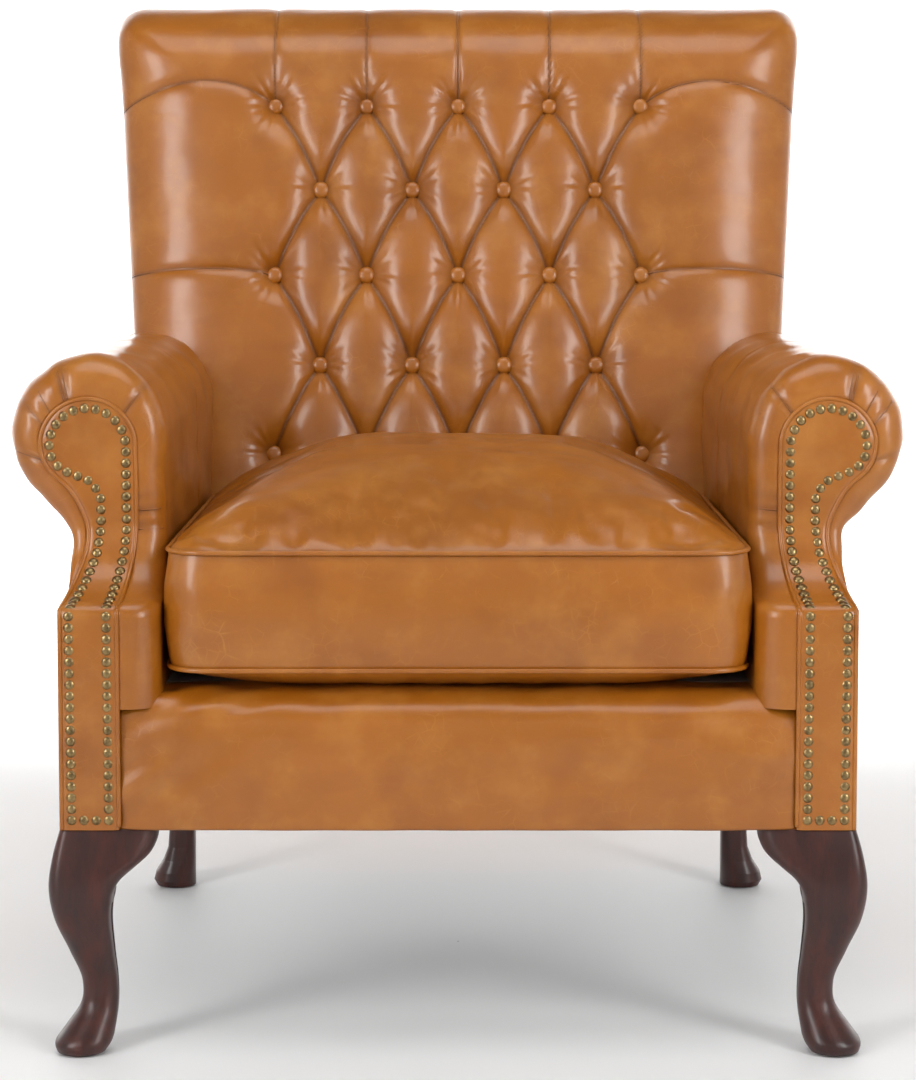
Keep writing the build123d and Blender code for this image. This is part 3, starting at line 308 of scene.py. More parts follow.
# ------------------------------------------------------------------ materials
class Shader:
    """A new node material with short calls for making and linking nodes."""

    def __init__(self, name):
        self.material = bpy.data.materials.new(name)
        self.material.use_nodes = True
        self.tree = self.material.node_tree
        self.bsdf = self.tree.nodes["Principled BSDF"]
        self.position = self.node("ShaderNodeTexCoord").outputs["Object"]

    def node(self, kind, **settings):
        new = self.tree.nodes.new(kind)
        for key, value in settings.items():
            setattr(new, key, value)
        return new

    def link(self, source, target):
        self.tree.links.new(source, target)

    def noise(self, scale, detail=3.0, roughness=0.55, stretch=None):
        new = self.node("ShaderNodeTexNoise")
        new.inputs["Scale"].default_value = scale
        new.inputs["Detail"].default_value = detail
        new.inputs["Roughness"].default_value = roughness
        self.link(self.scaled(stretch) if stretch else self.position, new.inputs["Vector"])
        return new.outputs["Fac"]

    def scaled(self, factors):
        new = self.node("ShaderNodeMapping")
        new.inputs["Scale"].default_value = factors
        self.link(self.position, new.inputs["Vector"])
        return new.outputs["Vector"]

    def warped(self, scale, amount):
        """The position shifted about by noise."""
        noise = self.node("ShaderNodeTexNoise")
        noise.inputs["Scale"].default_value = scale
        noise.inputs["Detail"].default_value = 3.0
        self.link(self.position, noise.inputs["Vector"])
        middle = self.node("ShaderNodeVectorMath", operation="SUBTRACT")
        middle.inputs[1].default_value = (0.5, 0.5, 0.5)
        self.link(noise.outputs["Color"], middle.inputs[0])
        grown = self.node("ShaderNodeVectorMath", operation="SCALE")
        grown.inputs["Scale"].default_value = amount
        self.link(middle.outputs[0], grown.inputs[0])
        total = self.node("ShaderNodeVectorMath", operation="ADD")
        self.link(self.position, total.inputs[0])
        self.link(grown.outputs[0], total.inputs[1])
        return total.outputs[0]

    def cells(self, scale, warp=None):
        """Distance to the nearest cell's centre."""
        new = self.node("ShaderNodeTexVoronoi", feature="F1")
        new.inputs["Scale"].default_value = scale
        self.link(warp or self.position, new.inputs["Vector"])
        return new.outputs["Distance"]

    def flat_veins(self, scale, width, position):
        """Cell edges drawn flat on whichever way the surface faces: 1 on an edge, 0 from width outwards."""
        facing = self.node("ShaderNodeSeparateXYZ")
        self.link(self.node("ShaderNodeTexCoord").outputs["Normal"], facing.inputs[0])
        place = self.node("ShaderNodeSeparateXYZ")
        self.link(position, place.inputs[0])
        total = 0.0
        for first, second, across in ((0, 2, 1), (1, 2, 0), (0, 1, 2)):
            pair = self.node("ShaderNodeCombineXYZ")
            self.link(place.outputs[first], pair.inputs[0])
            self.link(place.outputs[second], pair.inputs[1])
            edges = self.node("ShaderNodeTexVoronoi", feature="DISTANCE_TO_EDGE", voronoi_dimensions="2D")
            edges.inputs["Scale"].default_value = scale
            self.link(pair.outputs[0], edges.inputs["Vector"])
            turned = self.span(self.math("ABSOLUTE", facing.outputs[across], 0.0), 0.45, 0.70)
            vein = self.span(edges.outputs["Distance"], 0.0, width, 1.0, 0.0)
            total = self.math("MAXIMUM", total, self.math("MULTIPLY", vein, turned))
        return total

    def span(self, value, low, high, to_low=0.0, to_high=1.0):
        """value from low to high made to run from to_low to to_high, and held at the ends."""
        new = self.node("ShaderNodeMapRange")
        new.inputs["From Min"].default_value = low
        new.inputs["From Max"].default_value = high
        new.inputs["To Min"].default_value = to_low
        new.inputs["To Max"].default_value = to_high
        self.link(value, new.inputs["Value"])
        return new.outputs["Result"]

    def math(self, operation, a, b):
        new = self.node("ShaderNodeMath", operation=operation)
        for socket, value in zip(new.inputs, (a, b)):
            if isinstance(value, (int, float)):
                socket.default_value = value
            else:
                self.link(value, socket)
        return new.outputs[0]

    def mix(self, factor, a, b):
        new = self.node("ShaderNodeMix", data_type="RGBA")
        for socket, value in zip((new.inputs[0], new.inputs[6], new.inputs[7]), (factor, a, b)):
            if isinstance(value, (int, float)):
                socket.default_value = value
            elif isinstance(value, tuple):
                socket.default_value = (*value, 1.0)
            else:
                self.link(value, socket)
        return new.outputs[2]

    def bump(self, height, strength, distance, normal=None):
        new = self.node("ShaderNodeBump")
        new.inputs["Strength"].default_value = strength
        new.inputs["Distance"].default_value = distance
        self.link(height, new.inputs["Height"])
        if normal is not None:
            self.link(normal, new.inputs["Normal"])
        return new.outputs["Normal"]

    def finish(self, color=None, roughness=None, normal=None, **sockets):
        for name, value in (("Base Color", color), ("Roughness", roughness), ("Normal", normal)):
            if value is None:
                continue
            if isinstance(value, tuple):
                self.bsdf.inputs[name].default_value = (*value, 1.0)
            elif isinstance(value, (int, float)):
                self.bsdf.inputs[name].default_value = value
            else:
                self.link(value, self.bsdf.inputs[name])
        for name, value in sockets.items():
            self.bsdf.inputs[name.replace("_", " ")].default_value = value
        return self.material


def leather_material(name, base, light, dark, gloss=0.335, vein=1.0):
    """Waxed pull-up leather: mottled, with pale scuffed veins where it has stretched and painted shade that darkens
    its creases, pleats and seams.
    """
    s = Shader(name)
    broad = s.noise(4.0, 3.0, 0.6)
    cloudy = s.noise(17.0, 4.0, 0.6)
    smear = s.noise(10.0, 3.0, 0.5, stretch=(1.0, 1.0, 3.2))
    color = s.mix(s.span(broad, 0.36, 0.66), base, tuple(0.86 * c for c in base))
    color = s.mix(s.math("MULTIPLY", s.span(cloudy, 0.48, 0.76), 0.50), color, light)
    color = s.mix(s.math("MULTIPLY", s.span(s.noise(12.0, 2.0, 0.5), 0.46, 0.28), 0.42), color, dark)
    color = s.mix(s.math("MULTIPLY", s.span(smear, 0.52, 0.78), 0.30), color, dark)
    lines = s.flat_veins(36.0, 0.045, s.warped(24.0, 0.022))
    fine_lines = s.flat_veins(88.0, 0.07, s.warped(50.0, 0.010))
    patch = s.span(s.noise(13.0, 4.0, 0.65), 0.50, 0.70)
    crease = s.math("MULTIPLY", lines, patch)
    fine_patch = s.span(s.noise(19.0, 3.0, 0.6), 0.48, 0.68)
    fine_crease = s.math("MULTIPLY", fine_lines, fine_patch)
    broken = s.span(s.noise(48.0, 2.0, 0.5), 0.42, 0.58)
    creases = s.math("MULTIPLY", s.math("MAXIMUM", crease, fine_crease), broken)
    color = s.mix(s.math("MULTIPLY", creases, 0.36 * vein), color, light)
    fold = s.node("ShaderNodeAttribute", attribute_name="fold").outputs["Fac"]
    # painted shade: the colour darkens towards a deep brown by each point's stored shade value
    color = s.mix(s.math("MULTIPLY", fold, 0.88), color, tuple(0.48 * c for c in dark))
    rough = s.span(cloudy, 0.3, 0.7, gloss - 0.045, gloss + 0.075)
    rough = s.math("ADD", rough, s.math("MULTIPLY", creases, 0.06))
    rough = s.math("ADD", rough, s.math("MULTIPLY", fold, 0.22))
    grain = s.cells(820.0, s.warped(260.0, 0.0016))
    pores = s.noise(1900.0, 2.0, 0.5)
    normal = s.bump(s.math("ADD", grain, s.math("MULTIPLY", pores, 0.2)), 0.06, 0.0004)
    normal = s.bump(s.noise(70.0, 3.0, 0.5), 0.08, 0.0008, normal)
    normal = s.bump(s.math("SUBTRACT", 0.0, creases), 0.16, 0.0005, normal)
    return s.finish(color, rough, normal, Specular_IOR_Level=0.42, Coat_Weight=0.42, Coat_Roughness=0.19)


def wood_material(name, base, streak, gloss, coat, scale=1.0):
    """Polished or plain timber with its grain running up."""
    s = Shader(name)
    along = (9.0 * scale, 9.0 * scale, 1.1 * scale)
    figure = s.noise(7.0, 5.0, 0.6, stretch=along)
    pores = s.noise(38.0, 3.0, 0.6, stretch=along)
    color = s.mix(s.span(figure, 0.38, 0.66), base, streak)
    color = s.mix(s.math("MULTIPLY", s.span(pores, 0.52, 0.72), 0.5), color, tuple(0.4 * c for c in base))
    rough = s.span(figure, 0.3, 0.7, gloss, gloss + 0.1)
    normal = s.bump(pores, 0.06, 0.0004)
    return s.finish(color, rough, normal, Coat_Weight=coat, Coat_Roughness=0.12)


def metal_material(name, base, dull, rough):
    """Metal with darker tarnish in patches."""
    s = Shader(name)
    patch = s.noise(160.0, 4.0, 0.65)
    color = s.mix(s.span(patch, 0.40, 0.66), base, dull)
    normal = s.bump(s.noise(700.0, 2.0, 0.5), 0.12, 0.0003)
    return s.finish(color, s.span(patch, 0.3, 0.7, rough, rough + 0.16), normal, Metallic=1.0)


def cloth_material(name, base, thread, pitch=0.0011):
    """Plain weave: two crossed sets of threads with slight colour drift."""
    s = Shader(name)
    split = s.node("ShaderNodeSeparateXYZ")
    s.link(s.position, split.inputs[0])
    diagonal = s.math("ADD", split.outputs[1], split.outputs[2])
    warp = s.math("SINE", s.math("MULTIPLY", split.outputs[0], 2 * math.pi / pitch), 0.0)
    weft = s.math("SINE", s.math("MULTIPLY", diagonal, 2 * math.pi / pitch), 0.0)
    weave = s.math("MULTIPLY", warp, weft)
    drift = s.noise(30.0, 4.0, 0.6)
    color = s.mix(s.span(weave, -0.8, 0.8), base, thread)
    color = s.mix(s.math("MULTIPLY", s.span(drift, 0.4, 0.7), 0.35), color, tuple(0.6 * c for c in base))
    return s.finish(color, 0.85, s.bump(weave, 0.3, 0.0003), Sheen_Weight=0.25)


def foam_material(name, base):
    """Open-cell foam and wadding."""
    s = Shader(name)
    cell = s.cells(420.0)
    color = s.mix(s.span(cell, 0.1, 0.6), base, tuple(0.72 * c for c in base))
    color = s.mix(s.math("MULTIPLY", s.noise(20.0), 0.3), color, tuple(0.8 * c for c in base))
    return s.finish(color, 0.92, s.bump(cell, 0.4, 0.0008))


TAN = (0.375, 0.116, 0.0060)
TAN_LIGHT = (0.52, 0.212, 0.034)
TAN_DARK = (0.215, 0.056, 0.0032)
LEATHER = leather_material("tan_leather", TAN, TAN_LIGHT, TAN_DARK)
LEATHER_SEAT = leather_material("tan_leather_seat", TAN, TAN_LIGHT, TAN_DARK, gloss=0.34, vein=1.35)
MAHOGANY = wood_material("polished_mahogany", (0.027, 0.0045, 0.0024), (0.062, 0.0098, 0.0040), 0.33, 0.12)
BEECH = wood_material("sawn_beech", (0.46, 0.32, 0.19), (0.36, 0.24, 0.13), 0.6, 0.0, 0.6)
NAIL_BRASS = metal_material("antique_brass", (0.36, 0.25, 0.11), (0.15, 0.10, 0.045), 0.28)
ZIP_BRASS = metal_material("zip_brass", (0.45, 0.32, 0.14), (0.20, 0.13, 0.05), 0.3)
STEEL = metal_material("spring_steel", (0.46, 0.46, 0.47), (0.22, 0.21, 0.2), 0.3)
DECK_CLOTH = cloth_material("deck_cloth", (0.115, 0.055, 0.024), (0.16, 0.08, 0.035))
DUST_CLOTH = cloth_material("dust_cloth", (0.012, 0.012, 0.012), (0.026, 0.025, 0.024), 0.0016)
JUTE = cloth_material("jute_webbing", (0.36, 0.25, 0.13), (0.47, 0.35, 0.2), 0.0026)
ZIP_TAPE = cloth_material("zip_tape", (0.13, 0.06, 0.022), (0.17, 0.085, 0.035), 0.0009)
FOAM = foam_material("foam", (0.76, 0.68, 0.5))
NYLON = foam_material("glide_nylon", (0.05, 0.045, 0.04))

SLOT_MATERIALS = {"leather": LEATHER, "polished_wood": MAHOGANY, "frame_timber": BEECH,
                  "nail_brass": NAIL_BRASS, "steel": STEEL, "padding": FOAM, "deck_cloth": DECK_CLOTH,
                  "dust_cloth": DUST_CLOTH, "webbing": JUTE, "zip_tape": ZIP_TAPE,
                  "zip_metal": ZIP_BRASS, "nylon": NYLON}


def dress(piece, material, body="chair_frame", stands_for=()):
    """Gives a piece its material, its body and the CAD nodes it stands for."""
    piece.data.materials.clear()
    piece.data.materials.append(material)
    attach(piece, body)
    if stands_for:
        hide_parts(*stands_for)
    return piece


for part in frame["record"]["subparts"]:
    cad_node = nodes[part["node"]]
    cad_node.data.materials.clear()
    cad_node.data.materials.append(SLOT_MATERIALS[part["material_slot"]])


# ------------------------------------------------------------------ buttoned back
CREASE_START = (0.033, 0.049)      # where a fold between two buttons would turn, as offsets from the upper one
ROW_DROP = 0.101
PIT = 0.017
BUTTON_SINK = 0.0208
GATHER = 0.00035
FOLD = 0.0135
SEAM = 0.0060
OUTER_BUTTON = 4 * BUTTON_STEP
TOP_ROW_Z = BUTTON_ROWS[-1][0]
MIDDLE_ROW_Z = BUTTON_ROWS[2][0]

button_spots = [(column * BUTTON_STEP, z) for z, columns in BUTTON_ROWS for column in columns]


def fold_lines():
    """The diagonal folds between buttons, each a curve that steepens towards the lower button."""
    lines = []
    for x, z in button_spots:
        for side in (-1, 1):
            lower = [spot for spot in button_spots
                     if abs(spot[0] - x - side * BUTTON_STEP) < 0.01 and 0.05 < z - spot[1] < 0.13]
            for end_x, end_z in lower:
                drop = (z - end_z) / ROW_DROP
                middle = (x + side * CREASE_START[0], z - CREASE_START[1] * drop)
                lines.append(bezier([(x, z), middle, (end_x, end_z)], 12))
    return lines


def seam_lines():
    """The sewn or tucked lines that run from the buttons to the edges: (line, depth, half width)."""
    lines = []
    for column in BUTTON_ROWS[-1][1]:
        x = column * BUTTON_STEP
        lines.append((np.array([(x, TOP_ROW_Z), (x * 1.005, HEIGHT + 0.40)]), SEAM, 0.030))
    for column in BUTTON_ROWS[0][1]:
        x = column * BUTTON_STEP
        lines.append((np.array([(x, BUTTON_ROWS[0][0]), (x, DECK_Z - 0.1)]), FOLD, 0.035))
    for side in (-1, 1):
        x = side * OUTER_BUTTON
        arch = bezier([(x, TOP_ROW_Z), (side * 0.285, TOP_ROW_Z + 0.047), (side * 0.345, TOP_ROW_Z + 0.025),
                       (side * 0.46, TOP_ROW_Z - 0.035)], 20)
        lines.append((arch, SEAM * 1.1, 0.024))
        across = bezier([(x, MIDDLE_ROW_Z), (side * 0.29, MIDDLE_ROW_Z + 0.012),
                         (side * 0.46, MIDDLE_ROW_Z - 0.004)], 12)
        lines.append((across, SEAM, 0.022))
    return lines


def nearest_on_line(points, line):
    """Distance from each point to a line of segments, and whether it lies above it (1) or below (-1)."""
    best = np.full(len(points), 9.0)
    above = np.ones(len(points))
    for start, end in zip(line[:-1], line[1:]):
        along = end - start
        length = np.linalg.norm(along)
        along = along / length
        across = np.array([-along[1], along[0]])
        if across[1] < 0:
            across = -across
        offset = points - start
        t = np.clip(offset @ along, 0, length)
        gap = offset - t[:, None] * along
        distance = np.linalg.norm(gap, axis=1)
        closer = distance < best
        best[closer] = distance[closer]
        above[closer] = np.where(gap[closer] @ across >= 0, 1.0, -1.0)
    return best, above


def pit_depth(distance):
    """How far a button pulls the leather in, at each distance from it."""
    return PIT * np.exp(-(distance / 0.019) ** 1.25)


def held_down(z):
    """The share of a seam's depth and width left at height z: less over the roll."""
    return np.interp(z, (TOP_ROW_Z + 0.01, TOP_ROW_Z + 0.07), (1.0, 0.45))


def edge_share(inset):
    """The share of the tufting's depth left where the back's edge is rounded by inset."""
    return 1.0 - 0.55 * np.clip(inset / 0.058, 0, 1)


def cushioned(distance, width):
    """1 at a crease and 0 from width outwards, falling like the side of a stuffed pillow."""
    t = np.clip(distance / width, 0, 1)
    return 1.0 - np.sqrt(np.clip(1.0 - (1.0 - t) ** 2, 0, 1))


def tuft_field(x, z):
    """How deep each point of the inside back lies below its padding's crest, and how much painted shade it gets
    along creases, seams and round the buttons.
    """
    points = np.stack([x, z], 1)
    depth = np.zeros(len(points))
    crease_shade = np.zeros(len(points))
    for line in fold_lines():
        low, high = line.min(0) - 0.06, line.max(0) + 0.06
        near = np.all((points > low) & (points < high), axis=1)
        if not near.any():
            continue
        distance, above = nearest_on_line(points[near], line)
        width = np.where(above > 0, 0.034, 0.050)
        depth[near] = np.maximum(depth[near], FOLD * cushioned(distance, width))
        # painted shade: a thin dark line down the middle of each crease
        crease_shade[near] = np.maximum(crease_shade[near], np.exp(-(distance / 0.0022) ** 2))
    for line, deep, wide in seam_lines():
        low, high = line.min(0) - wide, line.max(0) + wide
        near = np.all((points > low) & (points < high), axis=1)
        if not near.any():
            continue
        distance = nearest_on_line(points[near], line)[0]
        held = held_down(z[near])
        depth[near] = np.maximum(depth[near], deep * held * cushioned(distance, wide * held))
        # painted shade: a thin dark line along each seam
        crease_shade[near] = np.maximum(crease_shade[near], 0.8 * np.exp(-(distance / 0.0016) ** 2))
    for spot in button_spots:
        distance = np.linalg.norm(points - np.array(spot), axis=1)
        near = distance < 0.075
        depth[near] += pit_depth(distance[near])
        turn = np.arctan2(z[near] - spot[1], x[near] - spot[0])
        rays = np.sin(13 * turn + 40 * spot[0]) + 0.6 * np.sin(19 * turn + 31 * spot[1])
        depth[near] += GATHER * rays * np.exp(-((distance[near] - 0.021) / 0.014) ** 2)
        # painted shade in a ring round each button's pit
        crease_shade[near] = np.maximum(crease_shade[near], 0.75 * np.exp(-(distance[near] / 0.0115) ** 4))
    return depth, crease_shade


def back_outline(steps_front, steps_roll, steps_rear):
    """The back's side outline from the seat up the front, over the roll and down: Y, Z and outward normals."""
    lean_top = (ROLL_Y - ROLL_R * math.cos(INNER_LEAN), ROLL_Z + ROLL_R * math.sin(INNER_LEAN))
    foot_z = DECK_Z - 0.005
    front = np.linspace((inner_back(foot_z), foot_z), lean_top, steps_front)
    roll = arc((ROLL_Y, ROLL_Z), ROLL_R, 180.0 - math.degrees(INNER_LEAN), -60.0, steps_roll)
    rear = np.linspace((ROLL_END_Y - 0.006, ROLL_END_Z), (outer_back(foot_z) - 0.006, foot_z), steps_rear)
    line = np.vstack([front, roll[1:], rear])
    return line, line_normals(line)


def edge_rounding(z_flat):
    """How far across and how deep the back's side edges are rounded, at each distance up the back."""
    share = np.clip((z_flat - (TOP_ROW_Z - 0.01)) / 0.11, 0, 1)
    return 0.120 + (0.032 - 0.120) * share, 0.054 + (0.028 - 0.054) * share


def build_back():
    """The inside back's leather: tufted face, roll, rounded side edges and side panels, in one piece."""
    steps_front, steps_roll, steps_rear = ((300, 70, 14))
    line, normal = back_outline(steps_front, steps_roll, steps_rear)
    count = len(line)
    center_y = (inner_back(line[:, 1]) + outer_back(line[:, 1])) / 2
    middle = np.stack([center_y, line[:, 1]], 1)
    neck = np.array([(inner_back(ROLL_END_Z) + outer_back(ROLL_END_Z)) / 2, ROLL_END_Z])
    hub = np.array([ROLL_Y, ROLL_Z])
    rising = np.arange(count) < steps_front
    share = np.clip((line[:, 1] - ROLL_END_Z) / (line[steps_front - 1, 1] - ROLL_END_Z), 0, 1)[:, None]
    above = rising & (line[:, 1] > ROLL_END_Z)
    middle[above] = (neck + (hub - neck) * share)[above]
    middle[steps_front:steps_front + steps_roll - 1] = hub
    travelled = np.concatenate([[0], np.cumsum(np.linalg.norm(np.diff(line, axis=0), axis=1))])
    beyond = np.arange(count) >= steps_front
    z_flat = line[:, 1].copy()
    z_flat[beyond] = line[steps_front - 1, 1] + travelled[beyond] - travelled[steps_front - 1]
    round_x, round_y = edge_rounding(z_flat)
    rear_start = steps_front + steps_roll
    round_x[rear_start - 6:] = round_y[rear_start - 6:] = 0.010
    spacing = 0.0024
    face_half = 0.290
    across = np.linspace(-face_half, face_half, int(2 * face_half / spacing))
    turns = np.linspace(0, math.pi / 2, 36)[1:]
    caps = np.linspace(0, 1, 9)[1:]
    columns = []
    flat_half = back_half_width(line[:, 1]) - round_x
    for x in across:
        columns.append((x / face_half * flat_half, np.zeros(count), np.zeros(count)))
    for side in (-1, 1):
        extra = []
        for turn in turns:
            extra.append((side * (flat_half + round_x * math.sin(turn)), round_y * (1 - math.cos(turn)),
                          np.zeros(count)))
        for cap in caps:
            extra.append((side * (flat_half + round_x), round_y, np.full(count, cap)))
        columns = extra[::-1] + columns if side < 0 else columns + extra
    grid = np.zeros((len(columns), count, 3))
    fold = np.zeros((len(columns), count))
    for index, (x, inset, cap) in enumerate(columns):
        edge = line - normal * inset[:, None]
        point = edge + (middle - edge) * cap[:, None]
        grid[index, :, 0] = np.sign(x) * back_half_width(point[:, 1]) if cap[0] > 0 else x
        grid[index, :, 1:] = point
        depth, crease_shade = tuft_field(x, z_flat)
        fade = np.clip((rear_start - 4 - np.arange(count)) / 14.0, 0, 1)
        strength = fade * edge_share(inset) * (1 - cap)
        grid[index, :, 1:] -= normal * (depth * strength)[:, None]
        # painted shade from the creases, seams and button pits, fading out over the roll's rear
        fold[index] = crease_shade * fade
    flat = grid.reshape(-1, 3)
    ripple = 0.0006 * wave(flat, 0.11, 3) + 0.0002 * wave(flat, 0.04, 5)
    flat[:, 1:] += np.tile(normal, (len(columns), 1)) * ripple[:, None]
    piece = grid_piece("back_upholstery", flat.reshape(grid.shape), close_columns=True)
    set_shade(piece, fold.reshape(-1))
    outward(piece)
    return dress(piece, LEATHER,
                 stands_for=("inside_back_cover", "back_foam", "left_back_side_panel", "right_back_side_panel"))


back = build_back()


def dome_points(radius, height, rings, sides, rim=0.0):
    """A button's profile turned about its axis: rings of points from rim to top."""
    rows = []
    for k in range(rings):
        turn = math.pi / 2 * k / max(rings - 1, 1) * 0.985
        r = radius * math.cos(turn) ** 0.8
        rows.append([(r * math.cos(a), r * math.sin(a), rim + height * math.sin(turn))
                     for a in np.linspace(0, 2 * math.pi, sides, endpoint=False)])
    return np.array(rows)


def merge_copies(name, rows, places):
    """Many copies of one turned shape as a single piece; each place is a 4 by 4 matrix."""
    points, faces = [], []
    rings, sides = rows.shape[:2]
    base = grid_faces(rings, sides, close_columns=True)
    base.append(tuple(range(sides))[::-1])
    base.append(tuple((rings - 1) * sides + k for k in range(sides)))
    flat = np.c_[rows.reshape(-1, 3), np.ones(rings * sides)]
    for place in places:
        start = len(points)
        points.extend((flat @ np.array(place).T)[:, :3])
        faces.extend(tuple(start + index for index in face) for face in base)
    return outward(make_mesh(name, points, faces))


def facing_matrix(origin, direction):
    """A placement at origin whose own Z points along direction."""
    turned = Vector(direction).to_track_quat("Z", "Y").to_matrix().to_4x4()
    turned.translation = Vector(origin)
    return turned


def on_back(line, sink):
    """Points on the inside back, or over its roll, at depths below the padding's crest."""
    top_z = ROLL_Z + ROLL_R * math.sin(INNER_LEAN)
    out_y, out_z = -math.cos(INNER_LEAN), math.sin(INNER_LEAN)
    result = []
    for (x, z), deep in zip(line, sink):
        round_x, round_y = edge_rounding(z)
        turn = math.pi - INNER_LEAN - max(z - top_z, 0.0) / ROLL_R
        height = z if z <= top_z else ROLL_Z + ROLL_R * math.sin(turn)
        over = (abs(x) - float(back_half_width(height)) + round_x) / round_x
        inset = round_y * (1 - math.sqrt(max(0.0, 1 - min(max(over, 0.0), 1.0) ** 2)))
        deep = deep * edge_share(inset) + inset
        if z <= top_z:
            result.append((x, inner_back(z) - out_y * deep, z - out_z * deep))
        else:
            reach = ROLL_R - deep
            result.append((x, ROLL_Y + reach * math.cos(turn), ROLL_Z + reach * math.sin(turn)))
    return np.array(result)


def fold_cords():
    """The turned edge of leather at the bottom of each fold and seam, as thin lips in one piece."""
    cords = []
    lines = [(line, FOLD, 0.0014) for line in fold_lines()]
    for line, deep, _ in seam_lines():
        even = spread(line, 60)
        low = DECK_Z if even[0, 1] > even[-1, 1] + 0.1 and abs(even[0, 0] - even[-1, 0]) < 0.02 else -9.0
        half = back_half_width(np.minimum(even[:, 1], HEIGHT)) - 0.0015
        keep = (np.abs(even[:, 0]) < half) & (even[:, 1] > low) & (even[:, 1] < HEIGHT + 0.262)
        lines.append((even[keep], deep * held_down(even[keep][:, 1]), 0.0011))
    for number, (line, deep, radius) in enumerate(lines):
        even = spread(np.c_[line, np.broadcast_to(deep, len(line))], 14 if len(line) < 15 else 50)
        even, deep = even[:, :2], even[:, 2]
        pit = np.zeros(len(even))
        for spot in button_spots:
            pit += pit_depth(np.linalg.norm(even - np.array(spot), axis=1))
        cords.append(tube(f"fold_{number}", on_back(even, deep + pit - 0.0006), radius, LIP_SIDES))
    return join_pieces(cords, "back_fold_lips")


def join_pieces(pieces, name):
    """Several mesh pieces made into one."""
    points, faces = [], []
    for piece in pieces:
        start = len(points)
        points.extend(tuple(v.co) for v in piece.data.vertices)
        faces.extend(tuple(start + index for index in face.vertices) for face in piece.data.polygons)
        bpy.data.objects.remove(piece, do_unlink=True)
    return make_mesh(name, points, faces)


lips = fold_cords()
# painted shade on the lips' undersides
shade_lips(lips)
dress(lips, LEATHER)

BUTTON_R = 0.0098
out = np.array([0.0, -math.cos(INNER_LEAN), math.sin(INNER_LEAN)])
button_places = [facing_matrix(np.array([x, inner_back(z), z]) - out * BUTTON_SINK, out)
                 for x, z in button_spots]
profile = np.concatenate([dome_points(BUTTON_R * 0.82, 0.0, 1, 24, -0.003),
                          dome_points(BUTTON_R, 0.0048, 9, 24)])
buttons = merge_copies("buttons", profile, button_places)
dress(buttons, LEATHER, stands_for=("back_buttons",))


# ------------------------------------------------------------------ scroll arms
ROUND_STEPS = 58          # points round the scroll
SCROLL_TURN = 232.0       # degrees that the arm's leather runs round the scroll
ARM_NECK_Z = 0.497        # where it meets the flat outer side


def arm_outlines():
    """The facing's outline and the arm's outline, point for point, from the inner foot over to the outer foot."""
    inner_parts = [
        ([(FACING_INNER, DECK_Z - 0.015), (FACING_INNER - 0.0005, SWEEP_LOW_Z)],
         [(ARM_INNER, DECK_Z - 0.015), (ARM_INNER, SWEEP_LOW_Z)], 10),
        ([(FACING_INNER - 0.0005, SWEEP_LOW_Z), (0.314, 0.455), (0.3103, 0.478), (NECK_INNER, SWEEP_HIGH_Z)],
         [(ARM_INNER, SWEEP_LOW_Z), (ARM_INNER, SWEEP_HIGH_Z)], 16),
        ([(NECK_INNER, SWEEP_HIGH_Z), (NECK_INNER, FACING_SCROLL_Z)],
         [(ARM_INNER, SWEEP_HIGH_Z), (ARM_INNER, SCROLL_Z)], 12),
    ]
    facing_run, arm_run = [], []
    for facing_part, arm_part, count in inner_parts:
        facing_run.append(spread(facing_part, count)[:-1] * np.array([-1, 1]))
        arm_run.append(spread(arm_part, count)[:-1] * np.array([-1, 1]))
    small_x = FACING_SCROLL_X + FACING_R - FACING_SMALL_R
    facing_arcs = np.vstack([arc((-FACING_SCROLL_X, FACING_SCROLL_Z), FACING_R, 0, 180, 60),
                             arc((-small_x, FACING_SCROLL_Z), FACING_SMALL_R, 180, 255, 30)[1:]])
    facing_round = spread(facing_arcs, ROUND_STEPS)
    arm_round = arc((-SCROLL_X, SCROLL_Z), SCROLL_R, 0, SCROLL_TURN, ROUND_STEPS)
    facing_run.append(facing_round[:-1])
    arm_run.append(arm_round[:-1])
    outer_parts = [
        ([facing_round[-1], (-NECK_OUTER, SWEEP_HIGH_Z)], [arm_round[-1], (-ARM_OUTER, ARM_NECK_Z)], 10),
        ([(-NECK_OUTER, SWEEP_HIGH_Z), (-0.356, 0.475), (-0.3635, 0.453), (-FACING_OUTER + 0.001, SWEEP_LOW_Z)],
         [(-ARM_OUTER, ARM_NECK_Z), (-ARM_OUTER, SWEEP_LOW_Z)], 16),
        ([(-FACING_OUTER + 0.001, SWEEP_LOW_Z), (-FACING_OUTER, SEAT_BASE)],
         [(-ARM_OUTER, SWEEP_LOW_Z), (-ARM_OUTER, SEAT_BASE)], 22),
    ]
    for facing_part, arm_part, count in outer_parts:
        facing_run.append(spread(facing_part, count)[:-1])
        arm_run.append(spread(arm_part, count)[:-1])
    facing_run.append(np.array([(-FACING_OUTER, SEAT_BASE)]))
    arm_run.append(np.array([(-ARM_OUTER, SEAT_BASE)]))
    facing_all, arm_all = np.vstack(facing_run), np.vstack(arm_run)
    for line, rounds in ((facing_all, 14), (arm_all, 8)):
        bend = (line[:, 1] > SWEEP_LOW_Z + 0.006) & (line[:, 1] < SCROLL_Z - 0.005)
        for _ in range(rounds):
            even = line.copy()
            even[1:-1] = (line[:-2] + 2 * line[1:-1] + line[2:]) / 4
            line[bend] = even[bend]
    return facing_all, arm_all


